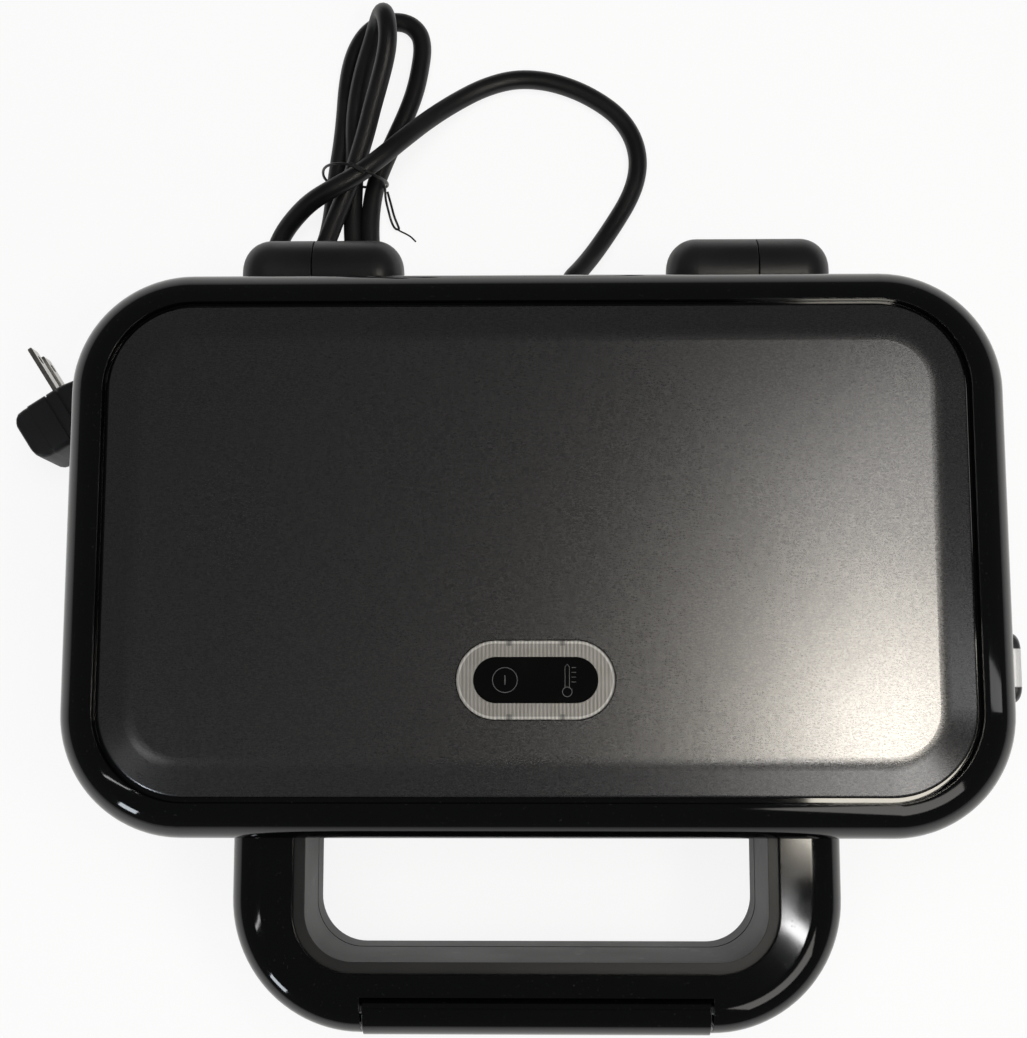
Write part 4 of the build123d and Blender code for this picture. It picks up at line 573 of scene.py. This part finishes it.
def nickel():
    finish = Finish("nickel_blade")
    rub = finish.noise(1.0, 3.0, finish.stretched(700.0, 700.0, 5000.0)).ramp(0.4, 0.75)
    spot = finish.noise(500.0, 4.0).ramp(0.62, 0.75)
    plate = finish.blend(rub, (0.60, 0.58, 0.54), (0.74, 0.71, 0.66))
    finish.set(base_color=finish.blend(spot * 0.4, plate, (0.45, 0.34, 0.18)), metallic=1.0,
               roughness=0.20 + rub * 0.16)
    finish.bump(rub, 0.01, 0.4, finish.soft_edges(0.12))
    return finish.material


def tinted_lamp():
    finish = Finish("tinted_lamp")
    haze = finish.noise(400.0, 2.0)
    finish.set(base_color=finish.blend(haze, (0.50, 0.05, 0.03), (0.62, 0.10, 0.06)),
               roughness=0.12 + haze * 0.08, alpha=0.75)
    finish.bump(haze, 0.01, 0.3)
    return finish.material


black_gloss = gloss_black()
hinge_satin = moulded("satin_black_moulding", (0.007, 0.007, 0.0075), (0.013, 0.013, 0.0135), 0.36,
                      1500.0, 0.02)
liner_matt = moulded("matt_black_moulding", (0.010, 0.010, 0.0105), (0.019, 0.0185, 0.018), 0.44,
                     1200.0, 0.03)
phenolic = hinge_satin
rubber = moulded("foot_rubber", (0.014, 0.014, 0.014), (0.032, 0.031, 0.030), 0.70, 700.0, 0.08)
nylon = moulded("natural_nylon", (0.66, 0.64, 0.58), (0.76, 0.74, 0.68), 0.42, 500.0, 0.03)
plug_skin = moulded("plug_moulding", (0.010, 0.010, 0.011), (0.021, 0.021, 0.022), 0.42,
                    900.0, 0.05)
tie_skin = moulded("tie_coating", (0.008, 0.008, 0.008), (0.018, 0.018, 0.018), 0.32, 1200.0, 0.02)
plated = plated_steel()
spring_steel = plated_steel("spring_steel", (0.25, 0.25, 0.26), (0.42, 0.42, 0.43), 0.24)

dress = {
    "upper_housing": black_gloss, "lower_housing": black_gloss,
    "upper_handle_shell": black_gloss, "lower_handle_shell": black_gloss,
    "latch_clip": black_gloss,
    "upper_handle_liner": liner_matt, "lower_handle_liner": liner_matt,
    "upper_frame": phenolic, "lower_frame": phenolic,
    "lid_panel": dark_brushed_steel(),
    "indicator_bezel": ribbed_silver(), "indicator_lens": lens_black(),
    "indicator_lamps": tinted_lamp(), "lamp_holder": nylon,
    "upper_cook_plate": non_stick(), "upper_heater": heated_steel(),
    "upper_heater_terminals": ceramic(), "upper_reflector": rolled_sheet(),
    "upper_leads": sleeve(), "upper_release_button": button_paint(),
    "feet": rubber, "terminal_block": nylon, "cord_clamp": nylon, "inner_cable": sheath(),
    "plug_blades": nickel(), "cord_gland": plug_skin, "plug_body": plug_skin,
    "cord_tie": tie_skin, "thermostat": None, "thermal_fuse": None,
    "upper_catch_spring": spring_steel, "lower_catch_spring": spring_steel,
}
like = {
    "lower_cook_plate": "upper_cook_plate", "lower_heater": "upper_heater",
    "lower_heater_terminals": "upper_heater_terminals", "lower_reflector": "upper_reflector",
    "upper_heater_clips": "upper_reflector", "lower_heater_clips": "upper_reflector",
    "fuse_clip": "upper_reflector", "lower_leads": "upper_leads", "lamp_leads": "upper_leads",
    "lower_release_button": "upper_release_button", "thermostat": "upper_heater_terminals",
    "thermal_fuse": "upper_heater_terminals",
}
dress.update({node: dress[model] for node, model in like.items()})
for name, node in nodes.items():
    finish = dress.get(name) or plated
    node.data.materials.clear()
    node.data.materials.append(finish)
flex_data.materials.append(dress["inner_cable"])


# ------------------------------------------------------------------ modelling tools
def start():
    """Leaves nothing selected, so that a tool acts on the new piece only."""
    if bpy.context.object and bpy.context.object.mode == "EDIT":
        bpy.ops.object.mode_set(mode="OBJECT")
    bpy.ops.object.select_all(action="DESELECT")


def settle(piece, name, finish, body, slot, *replaced):
    """Puts a finished piece's place into its mesh, names it, dresses it and lets it ride."""
    start()
    piece.select_set(True)
    bpy.context.view_layer.objects.active = piece
    bpy.ops.object.transform_apply(location=True, rotation=True, scale=True)
    piece.name = name
    piece.data.name = name
    piece.data.materials.clear()
    piece.data.materials.append(finish)
    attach(piece, body)
    if replaced:
        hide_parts(*replaced)
    return piece


def follow(points, share):
    """The cord's own curve: its place at a share, 0 to 1, of the run between two middles."""
    first = (points[0] + points[1]) / 2
    last = (points[1] + points[2]) / 2
    return first * (1 - share) ** 2 + points[1] * 2 * share * (1 - share) + last * share ** 2


def drawn_tube(name, stations, sides=5):
    """A closed tube through (place, radius) stations, made from a curve and turned to mesh."""
    start()
    data = bpy.data.curves.new(name, "CURVE")
    data.dimensions = "3D"
    line = data.splines.new("POLY")
    line.points.add(len(stations) - 1)
    for point, (place, radius) in zip(line.points, stations):
        point.co = (*at(*place), 1.0)
        point.radius = radius
    data.bevel_depth = MM
    data.bevel_resolution = sides
    data.use_fill_caps = True
    piece = bpy.data.objects.new(name, data)
    bpy.context.scene.collection.objects.link(piece)
    piece.select_set(True)
    bpy.context.view_layer.objects.active = piece
    bpy.ops.object.convert(target="MESH")
    piece = bpy.context.object
    bpy.ops.object.mode_set(mode="EDIT")
    bpy.ops.mesh.select_all(action="SELECT")
    bpy.ops.mesh.remove_doubles(threshold=0.00001)
    bpy.ops.mesh.normals_make_consistent(inside=False)
    bpy.ops.object.mode_set(mode="OBJECT")
    bpy.ops.object.shade_smooth_by_angle(angle=math.radians(40.0))
    return piece


def grow(piece, plane_x, plane_y, corner, steps):
    """Extrudes a rounded rectangle along Z through steps of (distance, low x, high x, inset y).

    The rectangle starts plane_x by plane_y with one corner at the origin."""
    bpy.ops.object.mode_set(mode="EDIT")
    bpy.ops.mesh.select_all(action="SELECT")
    bpy.ops.mesh.bevel(offset=corner * MM, segments=4, affect="VERTICES")
    last = (0.0, 0.0, plane_x, 0.0)
    for distance, low_x, high_x, inset_y in steps:
        if distance > last[0]:
            bpy.ops.mesh.extrude_region_move(
                TRANSFORM_OT_translate={"value": (0.0, 0.0, (distance - last[0]) * MM)})
        wide = (high_x - low_x) / (last[2] - last[1])
        high = (plane_y - 2 * inset_y) / (plane_y - 2 * last[3])
        bpy.ops.transform.resize(value=(wide, high, 1.0),
                                 center_override=(last[1] * MM, plane_y / 2 * MM, distance * MM))
        bpy.ops.transform.translate(value=((low_x - last[1]) * MM, 0.0, 0.0))
        last = (distance, low_x, high_x, inset_y)
    bpy.ops.mesh.select_all(action="SELECT")
    bpy.ops.mesh.normals_make_consistent(inside=False)
    bpy.ops.object.mode_set(mode="OBJECT")
    return piece


# ------------------------------------------------------ strain relief at the outlet
relief = [((gland_x, gland_low.y, gland_z), 5.1), ((gland_x, gland_low.y + 2.1, gland_z), 5.1),
          ((gland_x, gland_low.y + 2.15, gland_z), 4.1)]
relief_length = 20.0
relief_y = gland_high.y - relief_length
relief += [((gland_x, relief_y, gland_z), 4.1), ((gland_x, relief_y + 0.05, gland_z), 5.3),
           ((gland_x, relief_y + 0.5, gland_z), 5.6), ((gland_x, relief_y + 2.6, gland_z), 5.6)]
for rib in range(6):
    rib_y = relief_y + 3.0 + rib * 2.6
    rib_radius = 5.4 - rib * 0.22
    relief += [((gland_x, rib_y, gland_z), rib_radius - 0.9),
               ((gland_x, rib_y + 0.9, gland_z), rib_radius - 0.9),
               ((gland_x, rib_y + 1.1, gland_z), rib_radius),
               ((gland_x, rib_y + 2.3, gland_z), rib_radius - 0.1)]
relief += [((gland_x, gland_high.y - 0.5, gland_z), 4.2), ((gland_x, gland_high.y, gland_z), 3.9)]
settle(drawn_tube("outlet_relief", relief), "outlet_relief", plug_skin, "base", "cord_black",
       "cord_gland")

# --------------------------------------------------------------------- mains plug
start()
bpy.ops.mesh.primitive_plane_add(size=1.0)
plug = bpy.context.object
plug.scale = (plug_depth * MM, (plug_high.z - plug_low.z) * MM, 1.0)
bpy.ops.object.transform_apply(location=False, rotation=False, scale=True)
plug.location = (plug_depth / 2 * MM, (plug_high.z - plug_low.z) / 2 * MM, 0.0)
bpy.ops.object.transform_apply(location=True, rotation=False, scale=False)
deep = plug_depth
# How far along the plug, then its low and high edge in depth, then its inset in height
plug_steps = [
    (0.0, 3.4, deep - 5.0, 1.4), (0.4, 2.7, deep - 3.4, 0.7), (1.2, 1.45, deep - 2.0, 0.4),
    (2.4, 0.5, deep - 1.0, 0.3), (4.4, 0.2, deep - 0.4, 0.3), (6.3, 0.2, deep - 0.3, 0.3),
    (6.4, 0.0, deep, 0.0), (13.0, 0.0, deep, 0.0), (13.05, 0.5, deep - 0.5, 0.5),
    (13.6, 0.5, deep - 0.5, 0.5), (13.65, 0.0, deep, 0.0), (17.2, 0.0, deep, 0.0),
    (17.25, 0.6, deep - 0.6, 0.6), (17.9, 0.6, deep - 0.6, 0.6), (17.95, 0.0, deep - 0.2, 0.0),
    (20.5, 0.2, deep - 1.6, 0.2), (23.5, 0.6, deep - 2.8, 0.8), (27.0, 1.4, deep - 3.4, 2.0),
    (30.5, 2.8, deep - 4.0, 4.2), (33.2, 4.4, deep - 5.0, 6.6), (34.0, 5.4, deep - 5.8, 8.0),
]
grow(plug, plug_depth, plug_high.z - plug_low.z, 2.0, plug_steps)
start()
plug.select_set(True)
bpy.context.view_layer.objects.active = plug
rounding = plug.modifiers.new("edges", "BEVEL")
rounding.width = 0.25 * MM
rounding.segments = 2
rounding.limit_method = "ANGLE"
rounding.angle_limit = math.radians(35.0)
bpy.ops.object.modifier_apply(modifier="edges")
bpy.ops.object.shade_smooth_by_angle(angle=math.radians(45.0))
corner = at(plug_corner.x, plug_corner.y, plug_low.z)
plug.matrix_world = Matrix(((depth_way.x, 0.0, face_way.x, corner.x),
                            (depth_way.y, 0.0, face_way.y, corner.y),
                            (0.0, 1.0, 0.0, corner.z), (0.0, 0.0, 0.0, 1.0)))
settle(plug, "mains_plug", plug_skin, "base", "plug_black", "plug_body")

tail_points = [Vector(place) for place in tail_route[-2:]] + [plug_exit]
sleeve_stations = [(tuple(plug_exit - face_way * 2.0), 5.6), (tuple(plug_exit), 5.2)]
for ring in range(8):
    spot = follow(tail_points, 0.98 - ring * 0.12)
    radius = 4.9 - ring * 0.13
    before = follow(tail_points, 0.98 - ring * 0.12 + 0.035)
    after = follow(tail_points, 0.98 - ring * 0.12 - 0.035)
    sleeve_stations += [(tuple(before), radius - 0.55), (tuple(before * 0.8 + after * 0.2), radius),
                        (tuple(after), radius - 0.05)]
plug_sleeve = drawn_tube("plug_sleeve", sleeve_stations)
settle(plug_sleeve, "plug_sleeve", plug_skin, "base", "plug_black")

blades = []
blade_length, blade_width, blade_thickness = 17.5, 6.35, 1.5
for side in (-1, 1):
    start()
    bpy.ops.mesh.primitive_cube_add(size=1.0)
    blade = bpy.context.object
    blade.scale = (blade_thickness * MM, blade_width * MM, (blade_length + 8.0) * MM)
    bpy.ops.object.transform_apply(location=False, rotation=False, scale=True)
    bpy.ops.object.mode_set(mode="EDIT")
    shape = bmesh.from_edit_mesh(blade.data)
    tip = (blade_length + 8.0) / 2 * MM
    for edge in shape.edges:
        ends = [vertex.co for vertex in edge.verts]
        at_tip = all(co.z > tip - 0.1 * MM for co in ends)
        edge.select_set(at_tip)
    bmesh.update_edit_mesh(blade.data)
    bpy.ops.mesh.bevel(offset=0.55 * MM, segments=2, affect="EDGES")
    bpy.ops.object.mode_set(mode="OBJECT")
    start()
    bpy.ops.mesh.primitive_cylinder_add(vertices=24, radius=1.6 * MM, depth=4.0 * MM,
                                        rotation=(0.0, math.pi / 2, 0.0),
                                        location=(0.0, 0.0, tip - 4.6 * MM))
    cutter = bpy.context.object
    start()
    blade.select_set(True)
    bpy.context.view_layer.objects.active = blade
    hole = blade.modifiers.new("hole", "BOOLEAN")
    hole.operation = "DIFFERENCE"
    hole.object = cutter
    bpy.ops.object.modifier_apply(modifier="hole")
    bpy.data.objects.remove(cutter)
    root = (plug_corner + face_way * 16.8 - depth_way * ((blade_length - 8.0) / 2))
    place = at(root.x, root.y, plug_middle_z + side * 6.35)
    blade.matrix_world = Matrix(((face_way.x, 0.0, -depth_way.x, place.x),
                                 (face_way.y, 0.0, -depth_way.y, place.y),
                                 (0.0, 1.0, 0.0, place.z), (0.0, 0.0, 0.0, 1.0)))
    blades.append(blade)
start()
for blade in blades:
    blade.select_set(True)
bpy.context.view_layer.objects.active = blades[0]
bpy.ops.object.join()
settle(bpy.context.object, "plug_pins", dress["plug_blades"], "base", "blade_brass", "plug_blades")

# ----------------------------------------------------------- wire tie on the bundle
loop = [(-58.0, 135.6, 21.9), (-62.8, 138.6, 22.4), (-68.4, 139.6, 20.6), (-72.6, 140.2, 15.6),
        (-74.2, 140.0, 9.0), (-73.6, 139.4, 3.4), (-70.4, 139.0, 0.6), (-64.0, 138.6, 0.5),
        (-57.0, 138.0, 0.5), (-52.6, 137.2, 2.6), (-51.2, 136.4, 8.0), (-51.4, 135.4, 14.6),
        (-53.6, 135.0, 19.6), (-58.4, 136.8, 22.2), (-62.6, 138.9, 22.6)]
hank_end = [(-52.6, 135.4, 17.0), (-51.8, 134.6, 12.0), (-52.4, 132.0, 6.6), (-51.4, 128.0, 4.6),
            (-50.6, 124.8, 3.4), (-49.4, 122.4, 2.0), (-47.8, 122.2, 1.4), (-48.2, 123.6, 1.2),
            (-49.6, 126.6, 2.6), (-50.4, 130.0, 4.4), (-51.4, 133.6, 8.4)]
loose_end = [(-49.2, 122.8, 1.6), (-47.4, 121.8, 1.0), (-45.4, 120.9, 0.9), (-43.6, 119.8, 0.8),
             (-42.0, 118.1, 0.8)]


def wire_piece(points, radius):
    """A bent wire whose points are eased by averaging, three stations to each run."""
    places = [Vector(point) for point in points]
    stations = [(tuple(places[0]), radius)]
    for index in range(1, len(places) - 1):
        for share in (0.0, 0.33, 0.67):
            stations.append((tuple(follow(places[index - 1:index + 2], share)), radius))
    stations.append((tuple(places[-1]), radius))
    return drawn_tube("wire", stations, 2)


start()
strands = [wire_piece(loop, 0.48), wire_piece(hank_end, 0.42), wire_piece(loose_end, 0.3)]
start()
for strand in strands:
    strand.select_set(True)
bpy.context.view_layer.objects.active = strands[0]
bpy.ops.object.join()
settle(bpy.context.object, "wire_tie", tie_skin, "base", "tie_black", "cord_tie")

# ---------------------------------------------------------- symbols under the lens
lens_top = high_of("indicator_lens").z
grey = symbol_grey()


def symbol(name, points, radius, closed=False):
    """A printed line, raised by a hair over the lens."""
    places = [(x, window_y + y, lens_top) for x, y in points]
    if closed:
        places.append(places[0])
    return drawn_tube(name, [(place, radius) for place in places], 1)


turns = [math.radians(15.0 * step) for step in range(24)]
marks = [symbol("ring", [(-8.4 + 3.4 * math.cos(t), 3.4 * math.sin(t)) for t in turns], 0.11, True),
         symbol("stroke", [(-8.4, -1.3), (-8.4, 1.3)], 0.16),
         symbol("bulb", [(8.6 + 1.3 * math.cos(t), -3.2 + 1.3 * math.sin(t)) for t in turns], 0.11,
                True),
         symbol("stem", [(8.6 - 0.6, -2.0), (8.6 - 0.6, 3.6), (8.6, 4.3), (8.6 + 0.6, 3.6),
                         (8.6 + 0.6, -2.0)], 0.10)]
for tick in range(4):
    marks.append(symbol("tick", [(9.8, 3.4 - tick * 1.3), (11.0, 3.4 - tick * 1.3)], 0.09))
start()
for mark in marks:
    mark.select_set(True)
bpy.context.view_layer.objects.active = marks[0]
bpy.ops.object.join()
settle(bpy.context.object, "lens_symbols", grey, "lid", "lens_black")


# -------------------------------------------------------------------- lamps, floor
def lamp(name, place, aim, size, power, tint=(1.0, 1.0, 1.0)):
    """A soft rectangular lamp at a place, aimed at a point, both in millimetres."""
    data = bpy.data.lights.new(name, "AREA")
    data.shape = "RECTANGLE"
    data.size, data.size_y = size[0] * MM, size[1] * MM
    data.energy = power
    data.color = tint
    light = bpy.data.objects.new(name, data)
    bpy.context.scene.collection.objects.link(light)
    light.location = at(*place)
    way = at(*aim) - light.location
    light.rotation_euler = way.to_track_quat("-Z", "Y").to_euler()
    return light


lamp("front_right_window", (420.0, -520.0, 700.0), (60.0, -20.0, 60.0), (420.0, 300.0), 1.0,
     (1.0, 0.97, 0.92))
lamp("panel_window", (240.0, -76.0, 696.0), (98.0, -52.0, 104.0), (165.0, 95.0), 0.86,
     (1.0, 0.94, 0.82))
lamp("panel_window_top", (266.0, 110.0, 696.0), (104.0, 20.0, 104.0), (120.0, 190.0), 0.19,
     (1.0, 0.97, 0.92))
lamp("arm_gleam", (184.0, -205.0, 696.0), (72.0, -105.0, 88.0), (10.0, 60.0), 0.06)
lamp("left_high_strip", (-475.0, -280.0, 740.0), (-53.0, -120.0, 80.0), (20.0, 260.0), 0.12)
lamp("left_low_window", (-500.0, -560.0, 300.0), (-60.0, -60.0, 80.0), (110.0, 130.0), 0.5,
     (0.86, 0.93, 1.0))
lamp("right_strip", (520.0, -40.0, 380.0), (60.0, 0.0, 60.0), (30.0, 300.0), 0.06)
fill = lamp("overhead", (0.0, 120.0, 1300.0), (0.0, 0.0, 0.0), (900.0, 900.0), 10.5)
fill.visible_glossy = False

world = bpy.data.worlds.new("studio")
world.use_nodes = True
bpy.context.scene.world = world
sky = world.node_tree
sky.nodes.clear()
path = sky.nodes.new("ShaderNodeLightPath")
plain = sky.nodes.new("ShaderNodeBackground")
plain.inputs[0].default_value = (1.0, 1.0, 1.0, 1.0)
plain.inputs[1].default_value = 0.08
seen = sky.nodes.new("ShaderNodeBackground")
seen.inputs[0].default_value = (1.0, 1.0, 1.0, 1.0)
seen.inputs[1].default_value = 1.0
choose = sky.nodes.new("ShaderNodeMixShader")
room = sky.nodes.new("ShaderNodeOutputWorld")
sky.links.new(path.outputs["Is Camera Ray"], choose.inputs[0])
sky.links.new(plain.outputs[0], choose.inputs[1])
sky.links.new(seen.outputs[0], choose.inputs[2])
sky.links.new(choose.outputs[0], room.inputs[0])

start()
bpy.ops.mesh.primitive_plane_add(size=12.0, location=(middle.x, middle.y, 0.0))
floor = bpy.context.object
floor.name = "floor"
paper = Finish("pale_paper")
paper.set(base_color=paper.blend(paper.noise(6.0, 2.0), (0.90, 0.90, 0.90), (0.92, 0.92, 0.92)),
          roughness=0.9, specular_ior_level=0.1)
glow = paper.add("ShaderNodeEmission", {}, {"Color": (1.0, 1.0, 1.0, 1.0), "Strength": 1.0})
eye = paper.add("ShaderNodeLightPath")
mirrored = Value(paper, eye.outputs["Is Glossy Ray"]).most(
    Value(paper, eye.outputs["Is Transmission Ray"]))
share = (Value(paper, eye.outputs["Is Camera Ray"]) * 0.86).most(mirrored * 0.3)
mixed = paper.add("ShaderNodeMixShader", {}, {0: share, 1: paper.skin.outputs[0],
                                              2: glow.outputs[0]})
paper.tree.links.new(mixed.outputs[0], paper.tree.nodes["Material Output"].inputs[0])
floor.data.materials.append(paper.material)

at(*flex_exit)
